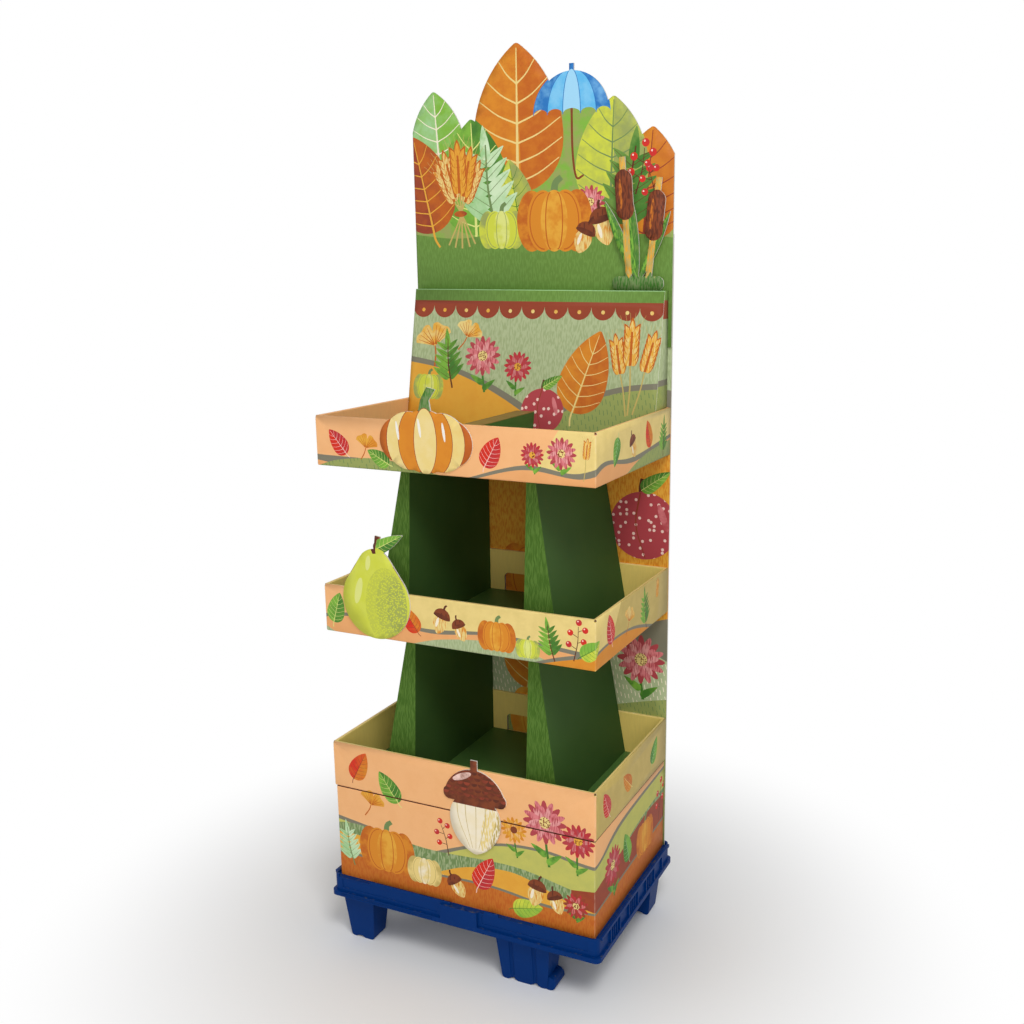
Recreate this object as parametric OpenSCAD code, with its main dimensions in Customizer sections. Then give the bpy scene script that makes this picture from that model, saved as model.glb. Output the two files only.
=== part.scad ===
// Cardboard floor display: three open trays on a plastic quarter pallet.
// Millimetres. X runs to the right, Y to the back and Z up.
// The origin is on the floor, under the middle of the pallet.

/* [Pallet] */
// Length of the pallet at its flange
pallet_l = 610; // [570:5:670]
// Depth of the pallet at its flange
pallet_d = 410; // [390:5:450]
// Height of the pallet's rim above the floor
pallet_h = 151; // [140:1:170]
// Height of the skirt, from its flange to its rim
skirt_h = 47; // [42:1:55]
// Height of the flange at the foot of the skirt
flange_h = 10; // [6:1:14]
// Distance that the flange stands out from the skirt
flange_out = 5; // [3:0.5:7]
// Thickness of the skirt at its rim
rim_t = 4; // [3:0.5:5]
// Depth of the deck below the rim
deck_drop = 6; // [3:1:10]
// Thickness of the deck
deck_t = 4; // [3:0.5:6]
// Height of the ribs under the deck
rib_h = 24; // [12:1:30]
// Thickness of the ribs under the deck
rib_t = 3; // [2:0.5:5]
// Distance from one rib to the next
rib_pitch = 66; // [50:1:100]
// Distance between the small ribs along the pallet's ends
pocket_pitch = 48; // [36:1:70]
// Length of the latch block in the middle of each long side
latch_l = 84; // [60:1:110]
// Length of the gaps in the rim of the long sides
rim_gap_l = 76; // [50:1:90]
// Chamfer of the rim's inner edge
rim_chamfer = 2; // [1:0.5:2.5]
// Depth of the sunk fields on the long sides
field_in = 1; // [0.5:0.1:1.5]

/* [Feet] */
// Width of the narrow feet at the skirt
narrow_foot_w = 74; // [60:1:90]
// Width of the wide feet at the skirt
wide_foot_w = 119; // [100:1:150]
// Depth of the feet at the skirt
foot_d = 62; // [50:1:90]
// Distance that each side of a foot draws in towards the floor
foot_taper = 10; // [4:1:14]
// Wall of the hollow feet
foot_wall = 3; // [2:0.5:5]
// Distance from the skirt's end to a narrow foot
narrow_foot_in = 14; // [8:1:24]
// Distance from the skirt's end to a wide foot
wide_foot_in = 107; // [80:1:120]
// Distance from the skirt's long face to the feet
foot_back = 11; // [8:1:18]
// Radius of the upright flutes on the wide feet
flute_r = 5; // [3:0.5:7]
// Radius of the feet's lower corners
foot_r = 8; // [4:1:12]
// Radius of the toe at the outer side of a wide foot
toe_r = 14; // [8:1:16]
// Distance that the toe stands out from the foot
toe_out = 18; // [4:1:20]

/* [Boards] */
// Thickness of the corrugated board
board_t = 3.5; // [2.5:0.1:4.5]
// Thickness of the thin board of the floor liners
liner_t = 2; // [1.2:0.1:3]
// Thickness of the raised die-cut pieces
cutout_t = 3; // [2:0.1:4]
// Outside radius of a folded edge
fold_r = 3; // [1.5:0.1:4]
// Radius of the edges of a rolled-over rim
rim_r = 1.8; // [1:0.1:2.4]
// Outside radius of the plinth's upper edges
plinth_r = 5; // [3:0.5:6]

/* [Plinth and trays] */
// Distance from the pallet's flange to the trays' outside
tray_inset = 14; // [13:0.5:18]
// Distance that the trays stand out over the plinth
tray_over = 2; // [1:0.5:4]
// Height of the plinth
plinth_h = 203; // [150:1:260]
// Height of a tray
tray_h = 96; // [80:1:120]
// Clear height between a tray's rim and the tray above
tier_gap = 237; // [180:1:300]
// Half of the length of the hand hole in a tray's rear wall
hand_hole_half = 90; // [60:1:120]
// Distance from a tray's rim down to its hand hole
hand_hole_drop = 51; // [40:1:60]
// Corner radius of a hand hole
hand_hole_r = 10; // [5:1:14]
// Size of the small notch at each corner of a rim
rim_notch = 3.2; // [2:0.1:5]
// Distance from the middle to each cross rib in the plinth
plinth_rib_x = 160; // [100:1:200]

/* [Uprights] */
// Distance from the middle to an upright's inner side
upright_in = 125; // [100:1:140]
// Width of an upright at its foot
upright_w0 = 75; // [60:1:90]
// Width of an upright at its top
upright_w1 = 17; // [15:1:40]
// Distance from the tray's inner front face to an upright's foot
upright_front = 35; // [25:1:60]
// Distance that an upright's front leans back over its height
upright_lean = 22; // [10:1:40]
// Length of the locking tabs at an upright's foot
tab_l = 34; // [20:1:50]
// Clearance round a tab in its slit
slit_gap = 0.4; // [0.2:0.1:1]
// Clearance round a liner or a riser in its tray
liner_gap = 1; // [0.5:0.1:2]

/* [Riser and divider] */
// Height of the riser above the top tray's liner
riser_h = 320; // [250:1:400]
// Depth of the riser at its foot
riser_d0 = 78; // [50:1:110]
// Depth of the riser at its top, in front of the header
riser_d1 = 20; // [15:1:40]
// Width of the divider's top
divider_w = 40; // [30:1:60]
// Height of the divider
divider_h = 77; // [50:1:84]
// Width of the glue flaps at the divider's foot
divider_flap = 26; // [15:1:40]
// Clearance between the divider and the riser
divider_gap = 0.3; // [0.2:0.1:1]

/* [Header and rear wall] */
// Height of the header from its tucked foot to its highest tip
header_h = 589; // [520:1:650]
// Length of the header that is tucked behind the riser
header_tuck = 110; // [80:1:140]
// Height of the header's straight shoulder above its foot
header_shoulder = 368; // [350:1:390]
// Height of the rear wall's top above the riser's top
rear_wall_over = 108; // [60:1:140]
// Width of the umbrella's dome in the skyline
dome_w = 160; // [140:1:190]
// Depth of the header's cross crease
crease = 0.8; // [0.4:0.1:1.2]

/* [Raised pieces] */
// Thickness of the foam pads behind the header's raised piece
pad_t = 8; // [5:0.5:12]
// Side of a foam pad
pad_side = 22; // [14:1:24]
// Width of the gourd on the top tray
gourd_w = 196; // [160:1:230]
// Radius of the fruit on the middle tray
fruit_r = 76; // [60:1:84]
// Width of the nut's cap on the bottom tray
nut_w = 132; // [110:1:160]
// Width of a reed head on the header
reed_w = 36; // [28:1:44]

/* [Hidden] */
$fn = 96;

// Plan sizes, each from the pallet's flange inwards
skirt_l = pallet_l - 2 * flange_out;
skirt_d = pallet_d - 2 * flange_out;
tray_l = pallet_l - 2 * tray_inset;
tray_d = pallet_d - 2 * tray_inset;
plinth_l = tray_l - 2 * tray_over;
plinth_d = tray_d - 2 * tray_over;
wall_t = 2 * board_t;
inner_l = tray_l - 2 * wall_t;
inner_d = tray_d - 2 * wall_t;
rear_y = tray_d / 2;
front_y = -tray_d / 2;
header_y = rear_y - board_t;

// Heights, each from the piece below
foot_top = pallet_h - skirt_h;
deck_z = pallet_h - deck_drop;
plinth_top = deck_z + plinth_h;
tier_pitch = tray_h + tier_gap;
middle_z = plinth_top + tier_pitch;
top_z = middle_z + tier_pitch;
floor_up = board_t + liner_t;
upright_h = tier_pitch - floor_up;
riser_z = top_z + floor_up;
riser_top = riser_z + riser_h;
header_z = riser_top - header_tuck;

// The riser's leaning front face, from its foot to its top
riser_y0 = inner_d / 2 - riser_d0;
riser_y1 = header_y - riser_d1;
function riser_face(z) = riser_y0 + (riser_y1 - riser_y0) * z / riser_h;

// Small margin that carries a cut clear of a face
clear = 1;

// Pallet: radius of its upright corners, and how far its small ribs stay behind the flange's edge
edge_r = 12;
rib_back = 1;
// Places of the small ridges in every second end pocket, along the pocket
ridges_at = [0.3, 0.5, 0.7];
// Places of the flutes on a wide foot, along its width
flutes_at = [0.28, 0.7];
// Sink of the arches' axes below the floor, as a share of their radius
arch_sink = 0.72;
// Place of the arch under a narrow foot, along its width
narrow_arch_at = 0.42;
// Places of the latch block's slots, along the block, and of the rim's gaps, along the half length
latch_slots = [0.3, 0.5, 0.7];
rim_gaps_at = [-0.83, 0.06, 0.42];
flange_lines_at = [0.3, 0.65];
// Frame left round a sunk field
field_frame = 9;

// Inside of the plinth, and the clearance in the slots of its ribs
plinth_in_l = plinth_l - 2 * board_t;
plinth_in_d = plinth_d - 2 * board_t;
plinth_in_h = plinth_h - board_t;
plinth_rib_gap = 0.4;

// Foot of an upright, and the places of its locking tabs
upright_y0 = upright_front - inner_d / 2;
upright_d0 = inner_d / 2 - upright_y0;
tab_ys = [for (share = [0.28, 0.74]) upright_y0 + share * upright_d0 - tab_l / 2];
tab_xs = [upright_in, upright_in + upright_w0 - board_t];

// Skyline of the header: each leaf's place as a share of the half width, its tip's drop, width and tilt
leaves = [
    [-0.82, 81, 130, 4],
    [-0.52, 139, 160, 2],
    [-0.155, 0, 200, 0],
    [0.57, 111, 150, -2],
    [0.85, 171, 150, -5]
];
// A leaf's height and the radius of its tip, as shares of its width
leaf_slim = 1.42;
leaf_tip = 0.05;
// The umbrella's place as a share of the half width, and the drop of its top
dome_x = 0.26;
dome_drop = 59;
// The solid middle behind the leaves: how far in from the edge, and how far above the shoulder
bulk_in = 60;
bulk_up = 30;

// Places of the raised pieces, from the middle and from the foot of the piece that carries them
gourd_x = -46;
gourd_z = 60;
fruit_x = -168;
fruit_z = 76;
nut_x = 38;
nut_z = 42;
nut_tip = 0.12;
reed_x = 222;
reed_stem = 0.34 * reed_w;
reed_foot = 2.2 * reed_stem;
reed_clear = 0.5;
reed_z = reed_foot / 2 + reed_clear;
reed_head_h = 2.6 * reed_w;
// Each reed head's shift, height and tilt, and each blade's tilt, width and height.
// Lengths are in widths of a head, from the middle of the foot.
reed_heads = [[-0.5, 6, 4], [0.6, 4.9, -6]];
reed_blades = [[24, 0.58, 4.8], [-26, 0.5, 4.2], [7, 0.66, 5.4]];

// Profile in X and Z, run along Y from 0
module along_y(d) {
    translate([0, d, 0]) rotate([90, 0, 0]) linear_extrude(d) children();
}

// Profile in Y and Z, run along X from 0
module along_x(l) {
    rotate([90, 0, 90]) linear_extrude(l) children();
}

module rounded_rect(l, d, r) {
    square([l - 2 * r, d], center = true);
    square([l, d - 2 * r], center = true);
    for (x = [-1, 1], y = [-1, 1])
        translate([x * (l / 2 - r), y * (d / 2 - r)]) circle(r);
}

// Upright panel on its foot, with one radius at its lower corners and one at its upper corners
module panel(w, h, r0, r1) {
    translate([-w / 2, r0]) square([w, h - r0 - r1]);
    translate([r0 - w / 2, 0]) square([w - 2 * r0, h / 2]);
    translate([r1 - w / 2, h / 2]) square([w - 2 * r1, h / 2]);
    for (x = [-1, 1]) {
        translate([x * (w / 2 - r0), r0]) circle(r0);
        translate([x * (w / 2 - r1), h - r1]) circle(r1);
    }
}

// Block with folded edges: upright corners, lower edges and upper edges
module folded_block(l, d, h, r_side, r0, r1) {
    intersection() {
        linear_extrude(h) rounded_rect(l, d, r_side);
        translate([0, -d / 2, 0]) along_y(d) panel(l, h, r0, r1);
        translate([-l / 2, 0, 0]) along_x(l) panel(d, h, r0, r1);
    }
}

// Leaf on its foot: a round base, two long arcs and a small round tip, each touching the next
module leaf(w, h, tip = leaf_tip) {
    tip_r = tip * w;
    slack = w / 2 - tip_r;
    tip_y = h - w / 2 - tip_r;
    side_x = (tip_y * tip_y - slack * slack) / (2 * slack);
    side_r = side_x + w / 2;
    meet_y = tip_y * side_r / (side_r - tip_r);
    translate([0, w / 2]) {
        circle(w / 2);
        translate([0, tip_y]) circle(tip_r);
        intersection() {
            translate([-side_x, 0]) circle(side_r);
            translate([side_x, 0]) circle(side_r);
            translate([-w / 2, 0]) square([w, meet_y]);
        }
    }
}

// Upright bar with half-round ends, on its foot
module capsule(w, h) {
    translate([-w / 2, w / 2]) square([w, h - w]);
    for (y = [w / 2, h - w / 2]) translate([0, y]) circle(w / 2);
}

// Blade between two points of an upright line: two arcs that meet in a point at both ends
module blade(w, h) {
    arc_r = (h * h + w * w) / (4 * w);
    translate([0, h / 2]) intersection() {
        translate([w / 2 - arc_r, 0]) circle(arc_r);
        translate([arc_r - w / 2, 0]) circle(arc_r);
    }
}

// Two discs and the straight sides that touch both
module tangent_discs(r0, r1, lift) {
    turn = asin((r0 - r1) / lift);
    circle(r0);
    translate([0, lift]) circle(r1);
    polygon([
        [-r0 * cos(turn), r0 * sin(turn)], [r0 * cos(turn), r0 * sin(turn)],
        [r1 * cos(turn), lift + r1 * sin(turn)], [-r1 * cos(turn), lift + r1 * sin(turn)]
    ]);
}

// Pallet

// Side view of a foot between two heights: it draws in towards the floor on both sides.
// The lower corners are arcs that touch the floor and the leaning sides.
module foot_outline(w, inset, z0, z1, r) {
    lean = foot_taper / foot_top;
    slant = norm([1, lean]);
    in0 = foot_taper - lean * z0 + inset;
    in1 = foot_taper - lean * z1 + inset;
    arc_x = in0 + r * (slant - lean);
    reach = (r + clear) / slant;
    difference() {
        polygon([[in0, z0], [w - in0, z0], [w - in1, z1], [in1, z1]]);
        if (r > 0)
            for (side = [0, 1]) translate([side * w, 0]) mirror([side, 0]) difference() {
                polygon([
                    [in0 - clear, z0 - clear], [arc_x, z0 - clear], [arc_x, z0 + r],
                    [arc_x - reach, z0 + r - reach * lean]
                ]);
                translate([arc_x, z0 + r]) circle(r);
            }
    }
}

// A foot from its lower left front corner, or with an inset the hollow inside it
module foot_form(w, inset, z0, z1, r) {
    intersection() {
        along_y(foot_d) foot_outline(w, inset, z0, z1, r);
        along_x(w) foot_outline(foot_d, inset, z0, z1, 0);
    }
}

// Rounded toe at the outer side of a wide foot
module toe(w) {
    translate([w - foot_taper + toe_out - toe_r, foot_taper, toe_r])
        rotate([-90, 0, 0]) cylinder(h = foot_d - 2 * foot_taper, r = toe_r);
}

// The feet of the front half, and their copies turned half round for the rear half
module each_foot() {
    for (turn = [0, 180]) rotate([0, 0, turn]) {
        y = foot_back - skirt_d / 2;
        translate([narrow_foot_in - skirt_l / 2, y, 0]) {
            $foot_w = narrow_foot_w;
            $flutes = [];
            children();
        }
        translate([skirt_l / 2 - wide_foot_in - wide_foot_w, y, 0]) {
            $foot_w = wide_foot_w;
            $flutes = flutes_at;
            children();
        }
    }
}

// Upright grooves down the front of a wide foot, and the arches under every foot
module foot_cuts() {
    lean = atan(foot_taper / foot_top);
    arch_r = foot_d / 4;
    for (share = $flutes)
        translate([share * $foot_w, foot_taper - flute_r / 3, -clear])
            rotate([lean, 0, 0]) cylinder(h = foot_top, r = flute_r);
    for (share = len($flutes) > 0 ? $flutes : [narrow_arch_at])
        translate([share * $foot_w, -clear, -arch_r * arch_sink])
            rotate([-90, 0, 0]) cylinder(h = foot_d + 2 * clear, r = arch_r);
}

// Ribs under the deck, centred, in both directions
module deck_ribs() {
    run_l = skirt_l - rim_t;
    run_d = skirt_d - rim_t;
    n_x = floor((run_l - rib_pitch) / 2 / rib_pitch);
    n_y = floor((run_d - rib_pitch) / 2 / rib_pitch);
    translate([0, 0, deck_z - deck_t - rib_h]) {
        for (i = [-n_x:n_x])
            translate([i * rib_pitch - rib_t / 2, -run_d / 2, 0]) cube([rib_t, run_d, rib_h + deck_t / 2]);
        for (i = [-n_y:n_y])
            translate([-run_l / 2, i * rib_pitch - rib_t / 2, 0]) cube([run_l, rib_t, rib_h + deck_t / 2]);
    }
}

// Small ribs that make a row of pockets along the pallet's two ends
module end_pockets() {
    bead_h = deck_drop;
    n = floor((skirt_d / 2 - edge_r) / pocket_pitch);
    cell_h = skirt_h - flange_h;
    for (turn = [0, 180]) rotate([0, 0, turn]) translate([skirt_l / 2 - rim_t / 2, 0, foot_top + flange_h]) {
        w = flange_out + rim_t / 2 - rib_back;
        translate([0, edge_r - skirt_d / 2, cell_h - bead_h])
            cube([w, skirt_d - 2 * edge_r, bead_h]);
        for (i = [-n:n])
            translate([0, i * pocket_pitch - rib_t / 2, -clear]) cube([w, rib_t, cell_h]);
        for (i = [-n:2:n - 1], share = ridges_at)
            translate([0, (i + share) * pocket_pitch - rib_t / 4, -clear])
                cube([w - rib_back, rib_t / 2, cell_h]);
    }
}

// Blocks in the middle of the long sides, with a slotted top
module latch_blocks() {
    block_h = skirt_h - deck_drop;
    slot_l = latch_l / 12;
    slot_d = flange_out / 3;
    for (turn = [0, 180]) rotate([0, 0, turn])
        translate([-latch_l / 2, -pallet_d / 2, foot_top])
            difference() {
                cube([latch_l, flange_out + rim_t / 2, block_h]);
                for (share = latch_slots)
                    translate([share * latch_l - slot_l / 2, slot_d, block_h - flange_h / 2])
                        cube([slot_l, slot_d, flange_h]);
            }
}

// Gaps in the rim of the long sides, where the deck's edge lies open
module rim_gaps() {
    for (turn = [0, 180]) rotate([0, 0, turn])
        for (share = rim_gaps_at)
            translate([share * skirt_l / 2 - rim_gap_l / 2, -skirt_d / 2 - clear, deck_z])
                cube([rim_gap_l, rim_t + 2 * clear, deck_drop + clear]);
}

// Two shallow lines along the flange's long faces
module flange_lines() {
    line_h = flange_h / 10;
    for (turn = [0, 180]) rotate([0, 0, turn])
        for (share = flange_lines_at)
            translate([edge_r * 2 - pallet_l / 2, -pallet_d / 2 - clear, foot_top + share * flange_h])
                cube([pallet_l / 2 - latch_l, clear + line_h, line_h]);
}

// Sunk fields on the long sides, one on each side of the latch block
module side_fields() {
    field_l = skirt_l / 2 - latch_l / 2 - edge_r - 2 * field_frame;
    field_h = skirt_h - flange_h - 2 * field_frame;
    for (turn = [0, 180], side = [-1, 1])
        rotate([0, 0, turn])
            translate([side * (latch_l / 2 + field_frame + field_l / 2), -skirt_d / 2,
                    foot_top + flange_h + field_frame + field_h / 2])
                cube([field_l, 2 * field_in, field_h], center = true);
}

// Chamfer along the straight runs of the rim's inner edge
module rim_bevel() {
    in_l = skirt_l - 2 * rim_t;
    in_d = skirt_d - 2 * rim_t;
    in_r = edge_r - rim_t;
    edge = [[-clear, -rim_chamfer - clear], [rim_chamfer + clear, clear], [-clear, clear]];
    translate([0, 0, pallet_h])
        for (turn = [0, 180]) rotate([0, 0, turn]) {
            translate([in_r - in_l / 2, in_d / 2, 0]) along_x(in_l - 2 * in_r) polygon(edge);
            translate([in_l / 2, in_r - in_d / 2, 0]) along_y(in_d - 2 * in_r) polygon(edge);
        }
}

module pallet() {
    color([0.05, 0.2, 0.46]) difference() {
        union() {
            translate([0, 0, foot_top]) linear_extrude(skirt_h) difference() {
                rounded_rect(skirt_l, skirt_d, edge_r);
                rounded_rect(skirt_l - 2 * rim_t, skirt_d - 2 * rim_t, edge_r - rim_t);
            }
            translate([0, 0, foot_top]) linear_extrude(flange_h) difference() {
                rounded_rect(pallet_l, pallet_d, edge_r);
                rounded_rect(skirt_l - 2 * rim_t, skirt_d - 2 * rim_t, edge_r - rim_t);
            }
            translate([0, 0, deck_z - deck_t])
                linear_extrude(deck_t) rounded_rect(skirt_l - rim_t, skirt_d - rim_t, edge_r - rim_t / 2);
            deck_ribs();
            end_pockets();
            latch_blocks();
            each_foot() difference() {
                union() {
                    foot_form($foot_w, 0, 0, deck_z - deck_t / 2, foot_r);
                    if (len($flutes) > 0) toe($foot_w);
                }
                foot_cuts();
            }
        }
        each_foot() foot_form($foot_w, foot_wall + flute_r / 2, foot_d / 6, deck_z + clear, 0);
        rim_gaps();
        rim_bevel();
        flange_lines();
        side_fields();
    }
}

// Plinth

module plinth() {
    color([0.8, 0.48, 0.2]) translate([0, 0, deck_z]) difference() {
        folded_block(plinth_l, plinth_d, plinth_h, fold_r, board_t / 4, plinth_r);
        translate([board_t - plinth_l / 2, board_t - plinth_d / 2, -clear])
            cube([plinth_l - 2 * board_t, plinth_d - 2 * board_t, plinth_h - board_t + clear]);
    }
}

module plinth_rib_long() {
    color([0.78, 0.66, 0.5]) translate([0, 0, deck_z]) difference() {
        translate([-plinth_in_l / 2, -board_t / 2, 0]) cube([plinth_in_l, board_t, plinth_in_h]);
        for (x = [-1, 1])
            translate([x * plinth_rib_x - board_t / 2 - plinth_rib_gap, -board_t, plinth_in_h / 2])
                cube([board_t + 2 * plinth_rib_gap, 2 * board_t, plinth_in_h]);
    }
}

module plinth_rib_cross(side) {
    color([0.78, 0.66, 0.5]) translate([side * plinth_rib_x, 0, deck_z]) difference() {
        translate([-board_t / 2, -plinth_in_d / 2, 0]) cube([board_t, plinth_in_d, plinth_in_h]);
        translate([-board_t, -board_t / 2 - plinth_rib_gap, -clear])
            cube([2 * board_t, board_t + 2 * plinth_rib_gap, plinth_in_h / 2 + clear]);
    }
}

// Trays and liners

// Sliver between a square rim edge and its rounding, which runs into the open tray
module rim_sliver() {
    difference() {
        translate([-clear, -rim_r]) square([rim_r + clear, rim_r + clear]);
        translate([rim_r, -rim_r]) circle(rim_r);
    }
}

module tray(z) {
    hole_h = tray_h - hand_hole_drop - board_t;
    color([0.93, 0.72, 0.48]) translate([0, 0, z]) difference() {
        folded_block(tray_l, tray_d, tray_h, fold_r, fold_r, rim_r);
        translate([-inner_l / 2, -inner_d / 2, board_t]) cube([inner_l, inner_d, tray_h]);
        for (turn = [0, 180]) rotate([0, 0, turn]) {
            translate([-inner_l / 2, inner_d / 2, tray_h]) along_x(inner_l) rim_sliver();
            translate([inner_l / 2, -inner_d / 2, tray_h]) along_y(inner_d) rim_sliver();
        }
        for (x = [-1, 1], y = [-1, 1])
            translate([x * tray_l / 2, y * tray_d / 2, tray_h])
                cube([2 * rim_notch, 2 * rim_notch, 2 * rim_notch], center = true);
        translate([0, inner_d / 2 - clear, board_t])
            along_y(wall_t + 2 * clear) panel(2 * hand_hole_half, hole_h, board_t, hand_hole_r);
    }
}

module liner(z, slits) {
    color([0.16, 0.3, 0.12]) translate([0, 0, z + board_t]) difference() {
        translate([liner_gap - inner_l / 2, liner_gap - inner_d / 2, 0])
            cube([inner_l - 2 * liner_gap, inner_d - 2 * liner_gap, liner_t]);
        if (slits)
            for (side = [-1, 1], x = tab_xs, y = tab_ys)
                translate([side * (x + board_t / 2), y + tab_l / 2, liner_t / 2])
                    cube([board_t + 2 * slit_gap, tab_l + 2 * slit_gap, 2 * liner_t], center = true);
    }
}

// Uprights

// The outside of an upright, or with an inset its open inside
module upright_form(inset, over) {
    run = upright_w0 - upright_w1;
    out_x = upright_in + upright_w0 - inset * norm([run, upright_h]) / upright_h;
    face_y = upright_y0 + inset * norm([upright_lean, upright_h]) / upright_h;
    z0 = -over;
    z1 = upright_h + over;
    back_y = inner_d / 2 - inset;
    intersection() {
        translate([0, -tray_d / 2, 0]) along_y(tray_d) polygon([
            [upright_in + inset, z0], [out_x - run * z0 / upright_h, z0],
            [out_x - run * z1 / upright_h, z1], [upright_in + inset, z1]
        ]);
        along_x(tray_l) polygon([
            [face_y + upright_lean * z0 / upright_h, z0], [back_y, z0],
            [back_y, z1], [face_y + upright_lean * z1 / upright_h, z1]
        ]);
    }
}

module upright(z, side) {
    color([0.3, 0.48, 0.2]) translate([0, 0, z + floor_up]) mirror([side < 0 ? 1 : 0, 0, 0]) {
        difference() {
            upright_form(0, 0);
            upright_form(board_t, clear);
        }
        for (x = tab_xs, y = tab_ys)
            translate([x, y, -liner_t]) cube([board_t, tab_l, liner_t + board_t / 4]);
    }
}

// Divider and riser of the top tray

// Folded channel with glue flaps, cut to the riser's lean
module top_divider() {
    y0 = liner_gap - inner_d / 2;
    length = inner_d;
    color([0.6, 0.45, 0.15]) translate([0, 0, riser_z]) intersection() {
        translate([0, y0, 0]) along_y(length) difference() {
            union() {
                translate([-divider_w / 2, 0]) square([divider_w, divider_h]);
                translate([-divider_w / 2 - divider_flap, 0]) square([divider_w + 2 * divider_flap, liner_t]);
            }
            translate([liner_t - divider_w / 2, -clear])
                square([divider_w - 2 * liner_t, divider_h - liner_t + clear]);
        }
        translate([-tray_l / 2, 0, 0]) along_x(tray_l) polygon([
            [y0, 0], [riser_face(0) - divider_gap, 0],
            [riser_face(divider_h) - divider_gap, divider_h], [y0, divider_h]
        ]);
    }
}

// Folded wedge: leaning front panel, two side returns and a top flap, open at its back and foot
module top_riser() {
    w = inner_l - 2 * liner_gap;
    skin = board_t * norm([riser_y1 - riser_y0, riser_h]) / riser_h;
    step_z = tray_h - floor_up;
    color([0.62, 0.66, 0.42]) translate([-w / 2, 0, riser_z]) difference() {
        along_x(w) polygon([
            [riser_y0, 0], [inner_d / 2, 0], [inner_d / 2, step_z], [header_y, step_z],
            [header_y, riser_h], [riser_y1, riser_h]
        ]);
        translate([board_t, 0, 0]) along_x(w - 2 * board_t) polygon([
            [riser_face(-clear) + skin, -clear], [rear_y, -clear],
            [rear_y, riser_h - board_t], [riser_face(riser_h - board_t) + skin, riser_h - board_t]
        ]);
    }
}

// Rear wall and header

module rear_wall() {
    h = riser_top + rear_wall_over - deck_z;
    color([0.85, 0.58, 0.22]) translate([-tray_l / 2, rear_y, deck_z]) cube([tray_l, board_t, h]);
}

module skyline() {
    half = tray_l / 2;
    intersection() {
        translate([-half, 0]) square([tray_l, header_h]);
        union() {
            translate([-half, 0]) square([tray_l, header_shoulder]);
            translate([-half + bulk_in, 0]) square([tray_l - 2 * bulk_in, header_shoulder + bulk_up]);
            for (l = leaves)
                translate([l[0] * half, header_h - l[1]])
                    rotate(l[3]) translate([0, -leaf_slim * l[2]]) leaf(l[2], leaf_slim * l[2]);
            translate([dome_x * half, header_h - dome_drop - dome_w / 2]) {
                circle(dome_w / 2);
                translate([-dome_w / 32, 0]) square([dome_w / 16, dome_w / 2 + dome_w / 12]);
            }
        }
    }
}

module header() {
    color([0.45, 0.62, 0.25]) translate([0, header_y, header_z]) difference() {
        along_y(board_t) skyline();
        translate([-tray_l / 2 - clear, board_t - crease, header_tuck + rear_wall_over])
            cube([tray_l + 2 * clear, 2 * crease, 2 * crease]);
    }
}

// Raised die-cut pieces

// Ribbed gourd: overlapping round lobes and a bent stalk
module gourd() {
    lobe = gourd_w * 0.3;
    for (s = [-1, 1]) {
        translate([s * (gourd_w / 2 - lobe * 0.72), 0]) circle(lobe * 0.72);
        translate([s * gourd_w * 0.17, 0]) circle(lobe * 0.92);
    }
    circle(lobe);
    translate([0, lobe * 0.8]) polygon([
        [-gourd_w * 0.075, 0], [gourd_w * 0.075, 0], [gourd_w * 0.05, lobe * 0.5],
        [gourd_w * 0.12, lobe * 0.84], [gourd_w * 0.03, lobe * 0.9], [-gourd_w * 0.04, lobe * 0.5]
    ]);
}

// Pear-shaped fruit with a stalk and one leaf
module fruit() {
    neck = fruit_r * 0.52;
    lift = fruit_r * 0.84;
    tangent_discs(fruit_r, neck, lift);
    translate([-fruit_r * 0.08, lift]) rotate(-8) square([fruit_r * 0.16, neck + fruit_r * 0.36]);
    translate([0, lift + neck * 0.95]) rotate(-62) leaf(fruit_r * 0.36, fruit_r * 0.95);
}

// Nut that hangs from its cap, with a short stalk
module nut() {
    cap_r = nut_w / 2;
    intersection() {
        translate([0, -cap_r * 0.2]) circle(cap_r * 1.02);
        translate([-cap_r, 0]) square([nut_w, nut_w]);
    }
    translate([0, -cap_r * 0.02]) rounded_rect(nut_w * 1.04, cap_r * 0.42, cap_r * 0.2);
    translate([0, cap_r * 0.1]) rotate(180) leaf(nut_w * 0.84, nut_w * 0.98, nut_tip);
    translate([-cap_r * 0.11, cap_r * 0.7]) square([cap_r * 0.22, cap_r * 0.42]);
}

// Reed heads on their stems, with blades at the foot
module reeds() {
    rounded_rect(reed_w * 3, reed_foot, reed_stem);
    for (head = reed_heads) {
        top = head[1] * reed_w;
        translate([head[0] * reed_w, 0]) rotate(head[2]) {
            translate([-reed_stem / 2, 0]) square([reed_stem, top + 2 * reed_stem]);
            translate([0, top - reed_head_h]) capsule(reed_w, reed_head_h);
        }
    }
    for (b = reed_blades)
        rotate(b[0]) blade(b[1] * reed_w, b[2] * reed_w);
}

module top_tray_cutout() {
    color([0.9, 0.45, 0.12])
        translate([gourd_x, front_y - cutout_t, top_z + gourd_z]) along_y(cutout_t) gourd();
}

module middle_tray_cutout() {
    color([0.78, 0.8, 0.25])
        translate([fruit_x, front_y - cutout_t, middle_z + fruit_z]) along_y(cutout_t) fruit();
}

module plinth_cutout() {
    color([0.5, 0.28, 0.14])
        translate([nut_x, front_y - cutout_t, plinth_top + nut_z]) along_y(cutout_t) nut();
}

module header_cutout() {
    color([0.55, 0.35, 0.18])
        translate([reed_x, header_y - pad_t - cutout_t, riser_top + reed_z]) along_y(cutout_t) reeds();
}

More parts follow.
